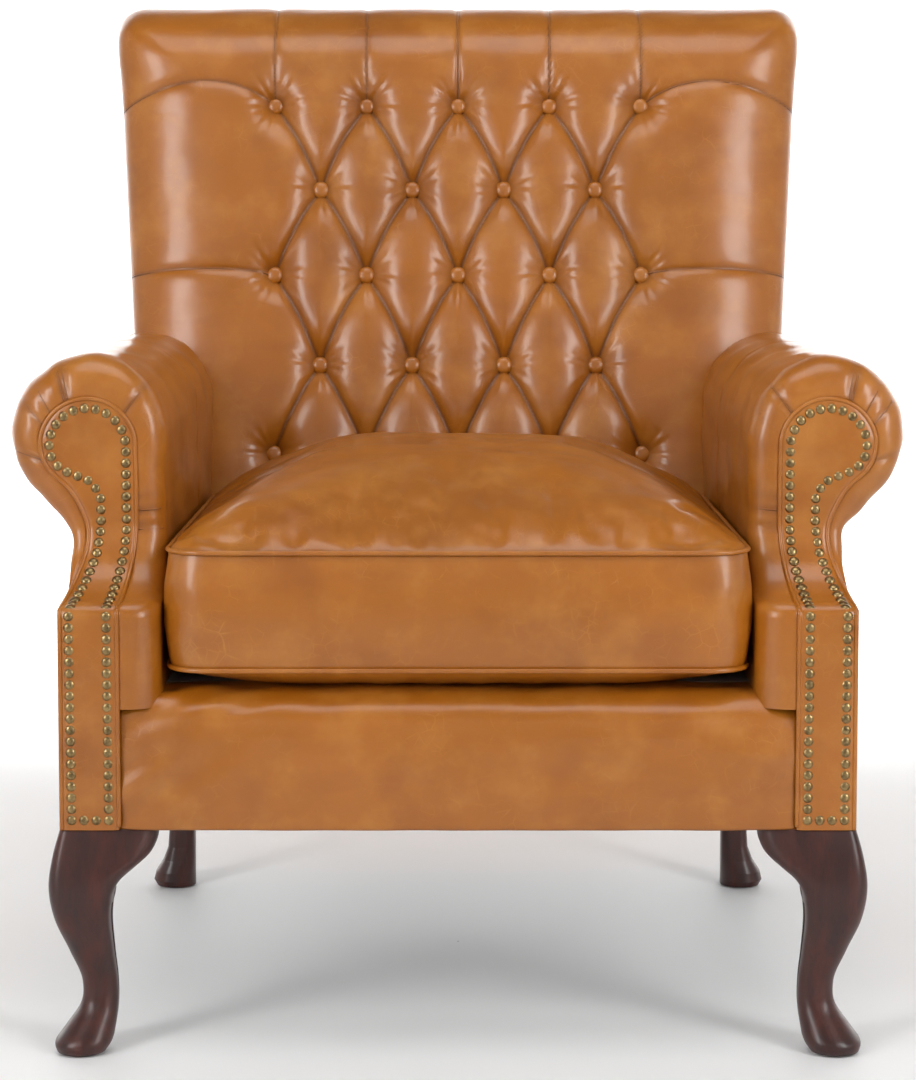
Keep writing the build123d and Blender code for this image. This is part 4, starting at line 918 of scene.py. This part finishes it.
facing_line, arm_line = arm_outlines()
PLEATS = ((40, 1.0), (109, 1.0), (114, 0.7), (134, 0.35), (152, 0.8), (193, 0.9))     # degrees, weight
INNER_PLEATS = ((0.4995, 1.0), (0.516, 0.8), (0.533, 0.5))                            # height, weight
PLEAT_DEPTH = 0.0050
BULLNOSE_SWELL = 0.0016
INNER_SIDE_X = -0.30      # points with a larger x are on the arm's inner side
BELOW_SCROLL = 0.062
ARM_SEAM_Y = FRONT_Y + 0.42
polar = np.degrees(np.arctan2(arm_line[:, 1] - SCROLL_Z, arm_line[:, 0] + SCROLL_X)) % 360


def bullnose_depth(gap):
    """How far back the arm's leather runs before it is straight, for its distance from the facing's edge."""
    return np.maximum(gap * 0.92, 0.004)


def pleat_dent(weight, phi):
    """How deep a pleat of the given weight is at angle phi round the bullnose."""
    return PLEAT_DEPTH * weight * (1.0 - 0.8 * math.sin(phi)) * min(1.0, phi / 0.3)


def facing_spine(line):
    """For each outline point, the middle point it closes towards."""
    x_mid = np.interp(line[:, 1], [SEAT_BASE, SWEEP_HIGH_Z, FACING_SCROLL_Z, 0.63],
                      [-0.347, -0.331, -0.3555, -0.3555])
    z_mid = np.clip(line[:, 1], SEAT_BASE, FACING_SCROLL_Z)
    return np.stack([x_mid, z_mid], 1)


def build_arm(name, seed):
    """The arm's leather: bullnose round the facing, over the scroll, back to the wing."""
    count = len(arm_line)
    normal = -line_normals(arm_line)
    depth = bullnose_depth(np.linalg.norm(arm_line - facing_line, axis=1))
    front = FRONT_Y + sweep(facing_line[:, 1])
    # pleats gather towards the facing's cord
    pleat = np.zeros(count)
    in_scroll = ((arm_line[:, 1] > SCROLL_Z - BELOW_SCROLL)
                 & ((arm_line[:, 0] < -SCROLL_X) | (arm_line[:, 1] > SCROLL_Z)))
    for angle, weight in PLEATS:
        pleat = np.maximum(pleat, weight * in_scroll * np.exp(-((polar - angle) / 2.3) ** 2))
    inner = arm_line[:, 0] > INNER_SIDE_X
    for height, weight in INNER_PLEATS:
        pleat = np.maximum(pleat, weight * inner * np.exp(-((arm_line[:, 1] - height) / 0.0035) ** 2))
    rows = [np.stack([facing_line[:, 0], front + 0.010, facing_line[:, 1]], 1)]
    # painted shade in full on the rim tucked in behind the facing's edge
    pleat_shade = [np.ones(count)]
    for phi in np.linspace(0, math.pi / 2, 16):
        place = facing_line + (arm_line - facing_line) * math.sin(phi)
        y = front + depth * (1 - math.cos(phi))
        dent = pleat_dent(pleat, phi)
        swell = BULLNOSE_SWELL * math.sin(2 * phi)
        place = place + normal * (swell - dent * 0.4)[:, None]
        rows.append(np.stack([place[:, 0], y + dent - swell, place[:, 1]], 1))
        # painted shade in the pleats round the bullnose, strongest next to the facing
        pleat_shade.append(np.clip(pleat * (1 - 0.75 * math.sin(phi)), 0, 1) * 0.8)
    start = front + depth
    end = outer_back(arm_line[:, 1]) - 0.0045
    steps = 130
    inside = (arm_line[:, 1] > 0.36) & (polar < 236) | inner
    for k in range(1, steps + 1):
        y = start + (end - start) * k / steps
        fade = np.exp(-(y - start) / 0.035)
        dent = 0.0042 * 0.2 * pleat * fade
        seam = np.exp(-np.abs(y - ARM_SEAM_Y) / 0.0030)
        place = arm_line - normal * (dent + 0.0026 * seam * inside)[:, None]
        rows.append(np.stack([place[:, 0], y, place[:, 1]], 1))
        # painted shade in the pleats, fading back from the front, and a thin dark line in the inner seam's groove
        pleat_shade.append(0.2 * pleat * fade + 0.8 * inside * np.exp(-((y - ARM_SEAM_Y) / 0.0011) ** 2))
    hub = facing_spine(arm_line)
    closing = (0.02, 0.06, 0.14, 0.3, 0.55, 0.8, 1.0)
    for t in closing:
        place = arm_line + (hub - arm_line) * t
        rows.append(np.stack([place[:, 0], end + 0.003 * min(1.0, t * 8), place[:, 1]], 1))
        pleat_shade.append(np.zeros(count))
    flat = np.array(rows).reshape(-1, 3)
    soft = np.clip((flat[:, 2] - 0.40) / 0.1, 0.15, 1)
    ripple = soft * (0.0016 * wave(flat, 0.12, seed) + 0.0010 * wave(flat * (1, 0.45, 1), 0.035, seed + 1))
    away = np.clip((flat[:, 1] - FRONT_Y) / 0.05, 0, 1)
    away[-len(closing) * count:] = 0
    normal_all = np.tile(normal, (len(rows), 1))
    flat[:, 0] += normal_all[:, 0] * ripple * away
    flat[:, 2] += normal_all[:, 1] * ripple * away
    piece = make_mesh(name, flat, grid_faces(len(rows), count))
    set_shade(piece, np.array(pleat_shade).reshape(-1))
    return piece


def arm_nodes(side):
    """The CAD nodes that an arm's leather stands for."""
    return (f"{side}_inside_arm_cover", f"{side}_arm_roll_padding", f"{side}_inside_arm_padding",
            f"{side}_outside_arm_panel")


REAR_CORD_RINGS, REAR_CORD_SIDES = 90, 8


def pleat_lips(name):
    """The turned edges of the pleats round the scroll's front, and the cord round its rear end."""
    cords = []
    scroll = np.where((arm_line[:, 1] > SCROLL_Z - BELOW_SCROLL) & (arm_line[:, 0] < ARM_INNER * -0.999))[0]
    spots = [(scroll[np.argmin(np.abs(polar[scroll] - angle))], weight) for angle, weight in PLEATS]
    inner = np.where(arm_line[:, 0] > INNER_SIDE_X)[0]
    spots += [(inner[np.argmin(np.abs(arm_line[inner, 1] - height))], weight)
              for height, weight in INNER_PLEATS[:2]]
    for index, weight in spots:
        start, finish = facing_line[index], arm_line[index]
        deep = float(bullnose_depth(np.linalg.norm(finish - start)))
        front = FRONT_Y + float(sweep(start[1]))
        path = []
        for phi in np.linspace(0.05, 0.55 + 0.5 * weight, 12):
            place = start + (finish - start) * math.sin(phi)
            dent = pleat_dent(weight, phi)
            y = front + deep * (1 - math.cos(phi)) + dent * 0.8 - BULLNOSE_SWELL * math.sin(2 * phi)
            path.append((place[0], y, place[1]))
        cords.append(tube(f"{name}_{index}", path, 0.0008, LIP_SIDES))
    behind = (arm_line[:, 0] < -back_half_width(arm_line[:, 1]) + 0.010) & (arm_line[:, 1] > 0.49)
    line = spread(arm_line[behind], REAR_CORD_RINGS)
    path = np.stack([line[:, 0], outer_back(line[:, 1]) - 0.003, line[:, 1]], 1)
    cords.append(tube(f"{name}_rear", path, 0.0024, REAR_CORD_SIDES))
    piece = join_pieces(cords, name)
    # painted shade on the pleat lips' undersides; the rear cord is left plain
    shade_lips(piece, plain_end=REAR_CORD_RINGS * REAR_CORD_SIDES)
    return piece


lips_left = pleat_lips("left_arm_pleat_lips")
lips_right = mirrored(lips_left, "right_arm_pleat_lips")
for piece in (lips_left, lips_right):
    dress(piece, LEATHER)

left_arm = build_arm("left_arm_upholstery", 11)
right_arm = mirrored(build_arm("arm_source", 23), "right_arm_upholstery")
bpy.data.objects.remove(bpy.data.objects["arm_source"], do_unlink=True)
for piece, side in ((left_arm, "left"), (right_arm, "right")):
    outward(piece)
    dress(piece, LEATHER, stands_for=arm_nodes(side))


# ------------------------------------------------------------------ arm front facings
def build_facing(name, seed):
    """A facing: the leather face with a soft crown, and its rim tucked back."""
    inner_foot = np.array([(-FACING_INNER, z) for z in np.linspace(SEAT_BASE, DECK_Z - 0.018, 9)])
    line = np.vstack([inner_foot, facing_line])
    spine = facing_spine(line)
    rows = []
    for k, t in enumerate((0.0, 0.0, 0.02, 0.06, 0.12, 0.22, 0.34, 0.48, 0.62, 0.76, 0.88, 0.96)):
        place = line + (spine - line) * t
        y = FRONT_Y + sweep(place[:, 1])
        crown = 0.0022 * np.minimum(1, t * 7)
        lift = 0.010 if k == 0 else -crown
        rows.append(np.stack([place[:, 0], y + lift, place[:, 1]], 1))
    flat = np.array(rows).reshape(-1, 3)
    flat[:, 1] += 0.0004 * wave(flat, 0.05, seed)
    piece = make_mesh(name, flat, grid_faces(len(rows), len(line)))
    work = bmesh.new()
    work.from_mesh(piece.data)
    count = len(line)
    work.verts.ensure_lookup_table()
    inner = [work.verts[(len(rows) - 1) * count + k] for k in range(count)]
    half = count // 2
    # stitch the two sides of the last ring together by height
    left_side, right_side = inner[:half + 1], inner[half:][::-1]
    a = b = 0
    while a < len(left_side) - 1 or b < len(right_side) - 1:
        take_a = b >= len(right_side) - 1 or (a < len(left_side) - 1
                                              and left_side[a + 1].co.z <= right_side[b + 1].co.z)
        corner = left_side[a + 1] if take_a else right_side[b + 1]
        if len({left_side[a], right_side[b], corner}) == 3:
            try:
                work.faces.new((left_side[a], right_side[b], corner))
            except ValueError:
                pass
        a, b = (a + 1, b) if take_a else (a, b + 1)
    bmesh.ops.remove_doubles(work, verts=work.verts, dist=0.0004)
    bmesh.ops.recalc_face_normals(work, faces=work.faces)
    work.to_mesh(piece.data)
    work.free()
    smooth_faces(piece.data)
    return piece


def facing_cord(name):
    """The cord sewn round a facing's edge."""
    inner_foot = np.array([(-FACING_INNER, z) for z in np.linspace(SEAT_BASE + 0.003, DECK_Z - 0.018, 9)])
    line = spread(np.vstack([inner_foot, facing_line]), 260)
    path = np.stack([line[:, 0], FRONT_Y + sweep(line[:, 1]) - 0.0002, line[:, 1]], 1)
    return tube(name, path, 0.0022, CORD_SIDES)


def nail_heads(side):
    """Smooth domed heads where the CAD nails are: one for each of its separate nails."""
    work = bmesh.new()
    work.from_mesh(nodes[f"{side}_facing_nails"].data)
    bmesh.ops.remove_doubles(work, verts=work.verts, dist=0.00001)
    seen, places = set(), []
    for first in work.verts:
        if first in seen:
            continue
        group, edge = [], [first]
        seen.add(first)
        while edge:
            vert = edge.pop()
            group.append(vert.co.copy())
            for link in vert.link_edges:
                other = link.other_vert(vert)
                if other not in seen:
                    seen.add(other)
                    edge.append(other)
        cloud = np.array(group)
        middle = cloud.mean(0)
        z = float((cloud[:, 2].min() + cloud[:, 2].max()) / 2)
        slope = 0.0005
        rise = float(sweep(z + slope) - sweep(z - slope)) / (2 * slope)
        flat = not SWEEP_LOW_Z < z < SWEEP_HIGH_Z
        toward = (0, -1, 0) if flat else (0, -1 / math.hypot(1, rise), rise / math.hypot(1, rise))
        along = (cloud - middle) @ np.array(toward)
        places.append(facing_matrix(middle + np.array(toward) * along.min(), toward))
    work.free()
    rows = np.concatenate([dome_points(0.0050, 0.0, 1, 20, -0.0006), dome_points(0.0053, 0.0039, 8, 20)])
    return merge_copies(f"{side}_nail_heads", rows, places)


for side in ("left", "right"):
    source = build_facing(f"{side}_facing", 31 if side == "left" else 41)
    cord = facing_cord(f"{side}_facing_cord")
    if side == "right":
        source, cord = turned_over(source), turned_over(cord)
    dress(source, LEATHER, stands_for=(f"{side}_arm_facing",))
    dress(cord, LEATHER, stands_for=(f"{side}_facing_piping",))
    dress(nail_heads(side), NAIL_BRASS, stands_for=(f"{side}_facing_nails",))


# ------------------------------------------------------------------ panels pulled over the frame
RAIL_PUFF = 0.004
RAIL_WRINKLE = 0.0016


def rounded_slab(name, half_width, y_front, depth, bottom, top, radius, seed):
    """A padded rail: a flat face with a rounded top edge, softly swollen and creased, with painted shade in the
    creases' hollows near its ends.
    """
    columns = 180
    face = [(y_front, z) for z in np.linspace(bottom, top - radius, 40)]
    turn = arc((y_front + radius, top - radius), radius, 180, 90, 16)[1:]
    over = [(y, top) for y in np.linspace(y_front + radius, y_front + depth, 12)[1:]]
    line = np.vstack([face, turn, over])
    normal = line_normals(line)
    height = (line[:, 1] - bottom) / (top - bottom)
    rows = []
    for x in np.linspace(-half_width, half_width, columns):
        edge = 1 - (abs(x) / half_width) ** 8
        swell = RAIL_PUFF * edge * np.clip(np.sin(math.pi * np.clip(height, 0, 1)), 0, 1) ** 0.6
        place = line + normal * (swell - 0.003 * (1 - edge))[:, None]
        rows.append(np.stack([np.full(len(line), x), place[:, 0], place[:, 1]], 1))
    grid = np.array(rows)
    flat = grid.reshape(-1, 3)
    near_ends = np.clip((np.abs(flat[:, 0]) / half_width - 0.45) / 0.5, 0, 1)
    pulls = wave(flat * (0.30, 1.0, 1.0) + np.abs(flat[:, :1]) * (0, 0, 0.35), 0.030, seed)
    size = RAIL_WRINKLE * (0.25 + 0.9 * near_ends) * pulls + 0.0010 * wave(flat, 0.11, seed + 2)
    flat[:, 1:] += np.tile(normal, (columns, 1)) * size[:, None]
    piece = grid_piece(name, flat.reshape(grid.shape))
    # painted shade in the hollows of the pulled creases, towards the ends
    set_shade(piece, 0.35 * np.clip(-pulls - 0.7, 0, 1) * near_ends)
    return piece


rail_low, rail_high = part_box("front_rail_cover")
rail = rounded_slab("front_rail_upholstery", rail_high.x + 0.0052, rail_low.y + 0.002, rail_high.y - rail_low.y,
                    rail_low.z, rail_high.z, 0.040, 51)
thicken(rail, 0.0022)
dress(rail, LEATHER, stands_for=("front_rail_cover", "front_edge_roll"))


def build_outside_back():
    """The outside back's leather: softly crowned, with one seam down its middle."""
    columns = 90
    z = np.linspace(SEAT_BASE, OUTSIDE_HIGH.z, 70)
    half = back_half_width(z) - 0.006
    rows = []
    shade = []
    for t in np.linspace(-1, 1, columns):
        x = t * half
        y = outer_back(z) + 0.0005
        border = np.minimum(np.abs(np.abs(x) - half), np.minimum(z - SEAT_BASE, OUTSIDE_HIGH.z - z + 0.004))
        crown = 0.0035 * np.sqrt(np.clip(border / 0.09, 0, 1))
        seam = np.exp(-(np.abs(x) / 0.0035) ** 2)
        rows.append(np.stack([x, y + crown - 0.0016 * seam, z], 1))
        # painted shade: a thin dark line in the seam's groove down the middle
        shade.append(0.7 * np.exp(-(np.abs(x) / 0.0014) ** 2))
    grid = np.array(rows)
    flat = grid.reshape(-1, 3)
    flat[:, 1] += 0.0008 * wave(flat, 0.12, 71) + 0.0004 * wave(flat, 0.04, 72)
    piece = grid_piece("outside_back_leather", flat.reshape(grid.shape), flip=True)
    set_shade(piece, np.array(shade).reshape(-1))
    thicken(piece, 0.0025)
    return piece


outside_back = build_outside_back()
dress(outside_back, LEATHER, stands_for=("outside_back_panel",))
z_run = np.linspace(SEAT_BASE + 0.003, OUTSIDE_HIGH.z, 60)
border_path = [(-float(back_half_width(z)) + 0.004, float(outer_back(z)) + 0.0015, z) for z in z_run]
top_run = [(x, float(outer_back(OUTSIDE_HIGH.z)) + 0.0015, OUTSIDE_HIGH.z)
           for x in np.linspace(border_path[-1][0], -border_path[-1][0], 60)[1:-1]]
border_path += top_run + [(-x, y, z) for x, y, z in border_path[::-1]]
back_welt = tube("outside_back_cord", border_path, 0.0030, CORD_SIDES)
dress(back_welt, LEATHER)


# ------------------------------------------------------------------ seat cushion
CUSHION_LOW, CUSHION_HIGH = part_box("cushion_cover")
SEAM_TOP = 0.4826
SEAM_LOW = 0.371
CUSHION_HALF = 0.2745
CUSHION_FRONT = FRONT_Y + 0.006
CROWN = CUSHION_HIGH.z - SEAM_TOP


def square_to_cushion(u, v, z, swell=0.0):
    """Maps u, v in -1..1 to the cushion's rounded plan at height z."""
    rear = inner_back(z) - 0.009
    half_x = CUSHION_HALF + swell
    front = CUSHION_FRONT - swell
    center_y = (front + rear) / 2
    half_y = (rear - front) / 2
    x, y = u * half_x, v * half_y
    radius = 0.040
    over_x = np.abs(x) - (half_x - radius)
    over_y = np.abs(y) - (half_y - radius)
    corner = (over_x > 0) & (over_y > 0)
    reach = np.maximum(over_x, over_y)
    length = np.maximum(np.hypot(over_x, over_y), 1e-9)
    shrink = np.where(corner, reach / length, 1.0)
    new_x = np.where(corner, np.sign(x) * (half_x - radius + over_x * shrink), x)
    new_y = np.where(corner, np.sign(y) * (half_y - radius + over_y * shrink), y)
    return new_x, new_y + center_y


def build_cushion():
    """A boxed cushion: crowned top, boxed border that bellies out, flat underside."""
    n = 88
    border_rows = 12
    u = np.linspace(-1, 1, n)
    points = []

    def add(x, y, z):
        points.append((x, y, z))
        return len(points) - 1

    uu, vv = np.meshgrid(u, u, indexing="ij")
    rim = (1 - np.abs(uu) ** 2.6).clip(0) * (1 - np.abs(vv) ** 2.6).clip(0)
    tops = SEAM_TOP + (CROWN - 0.006) * rim ** 0.62
    tx, ty = square_to_cushion(uu, vv, np.full_like(uu, SEAM_TOP))
    lean = np.clip((vv + 1) / 2, 0, 1) * (inner_back(tops) - inner_back(SEAM_TOP))
    top = [[add(tx[i, j], ty[i, j] + lean[i, j], tops[i, j]) for j in range(n)] for i in range(n)]
    bx, by = square_to_cushion(uu, vv, np.full_like(uu, SEAM_LOW))
    floor = CUSHION_LOW.z + 0.001
    bottoms = SEAM_LOW - (SEAM_LOW - floor) * np.clip(rim * 3.0, 0, 1) ** 0.6
    low = [[add(bx[i, j], by[i, j], bottoms[i, j]) for j in range(n)] for i in range(n)]
    faces = []
    for i in range(n - 1):
        for j in range(n - 1):
            faces.append((top[i][j], top[i + 1][j], top[i + 1][j + 1], top[i][j + 1]))
            faces.append((low[i][j], low[i][j + 1], low[i + 1][j + 1], low[i + 1][j]))
    loop = ([(i, 0) for i in range(n)] + [(n - 1, j) for j in range(1, n)]
            + [(i, n - 1) for i in range(n - 2, -1, -1)] + [(0, j) for j in range(n - 2, 0, -1)])
    lu = np.array([u[i] for i, j in loop])
    lv = np.array([u[j] for i, j in loop])
    rows = [[low[i][j] for i, j in loop]]
    for k in range(1, border_rows):
        t = k / border_rows
        z = SEAM_LOW + (SEAM_TOP - SEAM_LOW) * t
        belly = 0.0045 * math.sin(math.pi * t)
        x, y = square_to_cushion(lu, lv, np.full(len(loop), z), belly)
        rows.append([add(x[m], y[m], z) for m in range(len(loop))])
    rows.append([top[i][j] for i, j in loop])
    for lower, upper in zip(rows[:-1], rows[1:]):
        for m in range(len(loop)):
            after = (m + 1) % len(loop)
            faces.append((lower[m], lower[after], upper[after], upper[m]))
    piece = make_mesh("cushion_leather", points, faces)
    seams = rows[0] + rows[-1]
    pins = piece.vertex_groups.new(name="seams")
    pins.add(seams, 1.0, "REPLACE")
    return piece, np.array([points[m] for m in rows[0]]), np.array([points[m] for m in rows[-1]])


SWELL_FRAMES = 20
SWELL_PRESSURE = 4.0


def inflate(piece, pin_group, grow, cap):
    """Lets a cover swell and crease against its sewn seams, then keeps the result in its mesh."""
    before = read_points(piece)
    cloth = piece.modifiers.new("swell", "CLOTH")
    settings = cloth.settings
    settings.quality = 7
    settings.mass = 0.35
    settings.tension_stiffness = settings.compression_stiffness = 18
    settings.shear_stiffness = 9
    settings.bending_stiffness = 0.35
    settings.use_pressure = True
    settings.uniform_pressure_force = SWELL_PRESSURE
    settings.shrink_min = -grow
    settings.shrink_max = -grow
    settings.vertex_group_mass = pin_group
    settings.effector_weights.gravity = 0.0
    cloth.collision_settings.use_collision = False
    cloth.collision_settings.use_self_collision = False
    cloth.point_cache.frame_start, cloth.point_cache.frame_end = 1, SWELL_FRAMES
    scene = bpy.context.scene
    for number in range(1, SWELL_FRAMES + 1):
        scene.frame_set(number)
    after = read_points(piece.evaluated_get(bpy.context.evaluated_depsgraph_get()))
    piece.modifiers.remove(cloth)
    scene.frame_set(1)
    move = after - before
    size = np.linalg.norm(move, axis=1)
    move *= np.minimum(1.0, cap / np.maximum(size, 1e-9))[:, None]
    move *= np.interp(before[:, 2], (SEAM_TOP - 0.004, SEAM_TOP + 0.004), (0.22, 1.0))[:, None]
    piece.data.vertices.foreach_set("co", (before + move).reshape(-1))
    piece.data.update()
    return size


cushion, low_seam, top_seam = build_cushion()
moved = inflate(cushion, "seams", 0.030, 0.026)
print("cushion moved at most", round(float(moved.max()), 4), "m")
co = read_points(cushion)
on_top = np.clip((co[:, 2] - SEAM_TOP) / 0.01, 0, 1)
co[:, 2] += on_top * (0.0018 * wave(co, 0.14, 81) + 0.0007 * wave(co * (0.6, 1, 1), 0.035, 82))
co[:, 2] = np.clip(co[:, 2], CUSHION_LOW.z + 0.0008, None)
cushion.data.vertices.foreach_set("co", co.reshape(-1))
# painted shade in a thin line along the top seam, where the border meets the piping cord
set_shade(cushion, np.exp(-((co[:, 2] - SEAM_TOP) / 0.0015) ** 2) * 0.4)
finer = cushion.modifiers.new("finer", "SUBSURF")
finer.levels = finer.render_levels = 1
dress(cushion, LEATHER_SEAT, body="seat_cushion", stands_for=("cushion_cover", "cushion_core"))
for label, seam, cad in (("top", top_seam, "cushion_top_piping"), ("bottom", low_seam, "cushion_bottom_piping")):
    middle = seam.mean(0)
    out_dir = seam[:, :2] - middle[:2]
    out_dir /= np.linalg.norm(out_dir, axis=1)[:, None]
    path = seam.copy()
    path[:, :2] += out_dir * 0.0010
    path = spread(np.vstack([path, path[:1]]), 420)[:-1]
    welt_cord = tube(f"cushion_{label}_cord", path, 0.0025, CORD_SIDES, closed=True)
    dress(welt_cord, LEATHER, body="seat_cushion", stands_for=(cad,))


# ------------------------------------------------------------------ legs
LEG_PROFILE = ((0.220, 0.3770, 0.3270), (0.194, 0.3840, 0.3265), (0.166, 0.3880, 0.3275), (0.134, 0.3840, 0.3310),
               (0.098, 0.3710, 0.3295), (0.066, 0.3608, 0.3270), (0.044, 0.3630, 0.3268), (0.024, 0.3770, 0.3290),
               (0.009, 0.3865, 0.3325), (0.0015, 0.3840, 0.3380))


def smooth_curve(z_in, z_out, values):
    """Values at new heights along a smooth curve through the given ones."""
    z_in, values = np.asarray(z_in)[::-1], np.asarray(values)[::-1]
    slope = np.gradient(values, z_in)
    place = np.clip(np.searchsorted(z_in, z_out) - 1, 0, len(z_in) - 2)
    h = z_in[place + 1] - z_in[place]
    t = (z_out - z_in[place]) / h
    return ((2 * t ** 3 - 3 * t ** 2 + 1) * values[place] + (t ** 3 - 2 * t ** 2 + t) * h * slope[place]
            + (3 * t ** 2 - 2 * t ** 3) * values[place + 1] + (t ** 3 - t ** 2) * h * slope[place + 1])


EAR_CURVE = ((0.220, 0.2835), (0.206, 0.2865), (0.194, 0.2930), (0.182, 0.3065), (0.170, 0.3205), (0.158, 0.3275),
             (0.146, 0.3296), (0.130, 0.3300))


def build_front_leg(name):
    """A cabriole leg: knee with an ear on each side, slim ankle and pad foot, in one smooth skin."""
    heights = np.concatenate([np.linspace(0.220, 0.140, 46), np.linspace(0.140, 0.0015, 52)[1:]])
    z_in = [row[0] for row in LEG_PROFILE]
    outer = smooth_curve(z_in, heights, [row[1] for row in LEG_PROFILE])
    inner = smooth_curve(z_in, heights, [row[2] for row in LEG_PROFILE])
    ears = smooth_curve([row[0] for row in EAR_CURVE], np.clip(heights, 0.130, 0.220),
                        [row[1] for row in EAR_CURVE])
    rows = []
    for z, far, near, tip in zip(heights, outer, inner, ears):
        reach = max(near - tip, 0.0) if z > 0.146 else 0.0
        side = far - near
        # in corner coordinates: a and b run inwards along the front and along the side from the outer corner
        soft = side * float(np.interp(z, [0.0, 0.03, 0.06, 0.12, 0.17, 0.22], [0.48, 0.47, 0.40, 0.30, 0.22, 0.16]))
        thick = side * 0.58 if reach > 0 else side
        hold = np.clip(reach / 0.02, 0, 1)
        thick = side + (thick - side) * hold
        length = side + reach
        tip_round = float(min(soft + (thick / 2 - soft) * hold, thick / 2 - 0.0001) if hold > 0 else soft)
        outline = []
        for a in np.linspace(0, math.pi / 2, 9):                       # outer corner
            outline.append((soft - soft * math.cos(a), soft - soft * math.sin(a)))
        for t in np.linspace(0, 1, 13)[1:-1]:                           # front face out to the ear
            outline.append((soft + (length - tip_round - soft) * t, 0.0))
        for a in np.linspace(0, math.pi / 2, 9):                       # ear tip, front
            outline.append((length - tip_round + tip_round * math.sin(a), tip_round - tip_round * math.cos(a)))
        for a in np.linspace(0, math.pi / 2, 9)[1:]:                   # ear tip, rear
            outline.append((length - tip_round + tip_round * math.cos(a),
                            thick - tip_round + tip_round * math.sin(a)))
        fillet = 0.006 * hold
        stop = max(thick, length - tip_round - 0.0001)
        for t in np.linspace(0, 1, 9)[1:]:                              # back along the ear to the hollow
            outline.append((stop + (thick + fillet - stop) * t * hold, thick))
        outline += [(v, u) for u, v in outline[9:]][::-1]
        setback = 0.010 * np.clip(reach / 0.04, 0, 1)
        ring = []
        for u, v in outline:
            push = setback * max(0.0, (max(u, v) - side * 0.6) / max(length - side * 0.6, 1e-6)) ** 1.5
            du, dv = (0.0, push) if u > v else (push, 0.0)
            ring.append((-far + u + du, FRONT_Y - 0.012 + (0.388 - far) + v + dv, z))
        rows.append(ring)
    grid = np.array(rows)
    count = grid.shape[1]
    faces = grid_faces(len(rows), count, close_columns=True)
    faces.append(tuple(range(count)))
    faces.append(tuple((len(rows) - 1) * count + k for k in range(count))[::-1])
    piece = outward(make_mesh(name, grid.reshape(-1, 3), faces))
    soften = piece.modifiers.new("soften", "SMOOTH")
    soften.factor, soften.iterations = 0.5, 3
    return piece


for side in ("left", "right"):
    leg = build_front_leg(f"{side}_cabriole_leg")
    if side == "right":
        leg = turned_over(leg)
    dress(leg, MAHOGANY,
          stands_for=(f"{side}_front_leg",) + (("front_leg_brackets",) if side == "left" else ()))


# ------------------------------------------------------------------ room, light and camera
def stage_floor():
    """A wide pale floor that curves up all round."""
    line = [(0.001, 0.0), (1.0, 0.0), (2.5, 0.0), (5.2, 0.0)]
    line += [tuple(p) for p in arc((5.2, 1.6), 1.6, -90, 0, 16)[1:]] + [(6.8, 6.5)]
    angles = np.linspace(0, 2 * math.pi, 64, endpoint=False)
    grid = np.array([[(r * math.cos(a), r * math.sin(a), z) for a in angles] for r, z in line])
    floor = grid_piece("floor", grid, close_columns=True)
    s = Shader("studio_floor")
    tone = s.noise(2.0, 2.0, 0.5)
    floor.data.materials.append(s.finish(s.mix(s.span(tone, 0.3, 0.7), (0.84, 0.84, 0.84), (0.87, 0.87, 0.87)), 0.6))


stage_floor()


def softbox(name, place, target, width, height, power):
    light = bpy.data.lights.new(name, "AREA")
    light.shape = "RECTANGLE"
    light.size, light.size_y, light.energy = width, height, power
    lamp = bpy.data.objects.new(name, light)
    lamp.location = place
    lamp.rotation_euler = (Vector(target) - Vector(place)).to_track_quat("-Z", "Y").to_euler()
    bpy.context.scene.collection.objects.link(lamp)


softbox("left_softbox", (-2.0, -2.1, 1.5), (0, 0, 0.6), 0.75, 1.8, 35)
softbox("right_softbox", (2.0, -2.1, 1.5), (0, 0, 0.6), 0.75, 1.8, 35)
softbox("top_softbox", (0.0, -0.9, 2.9), (0, 0.05, 0.5), 1.9, 1.2, 21)
softbox("backdrop_left", (-2.6, 2.0, 2.4), (-1.0, 6.4, 1.6), 1.4, 1.4, 330)
softbox("backdrop_right", (2.6, 2.0, 2.4), (1.0, 6.4, 1.6), 1.4, 1.4, 330)
world = bpy.data.worlds.new("studio")
world.use_nodes = True
world.node_tree.nodes["Background"].inputs["Color"].default_value = (1.0, 0.985, 0.96, 1.0)
world.node_tree.nodes["Background"].inputs["Strength"].default_value = 0.17
bpy.context.scene.world = world
bpy.context.scene.view_settings.view_transform = "Standard"

camera_data = bpy.data.cameras.new("camera")
camera_data.lens = 90.0
camera_data.sensor_width = 36.0
camera = bpy.data.objects.new("camera", camera_data)
camera.rotation_euler = (math.radians(90 - 6.759), 0, 0)
camera.location = (0.0, FRONT_Y - 2.5, 0.792)
bpy.context.scene.collection.objects.link(camera)
bpy.context.scene.camera = camera


bpy.context.view_layer.update()
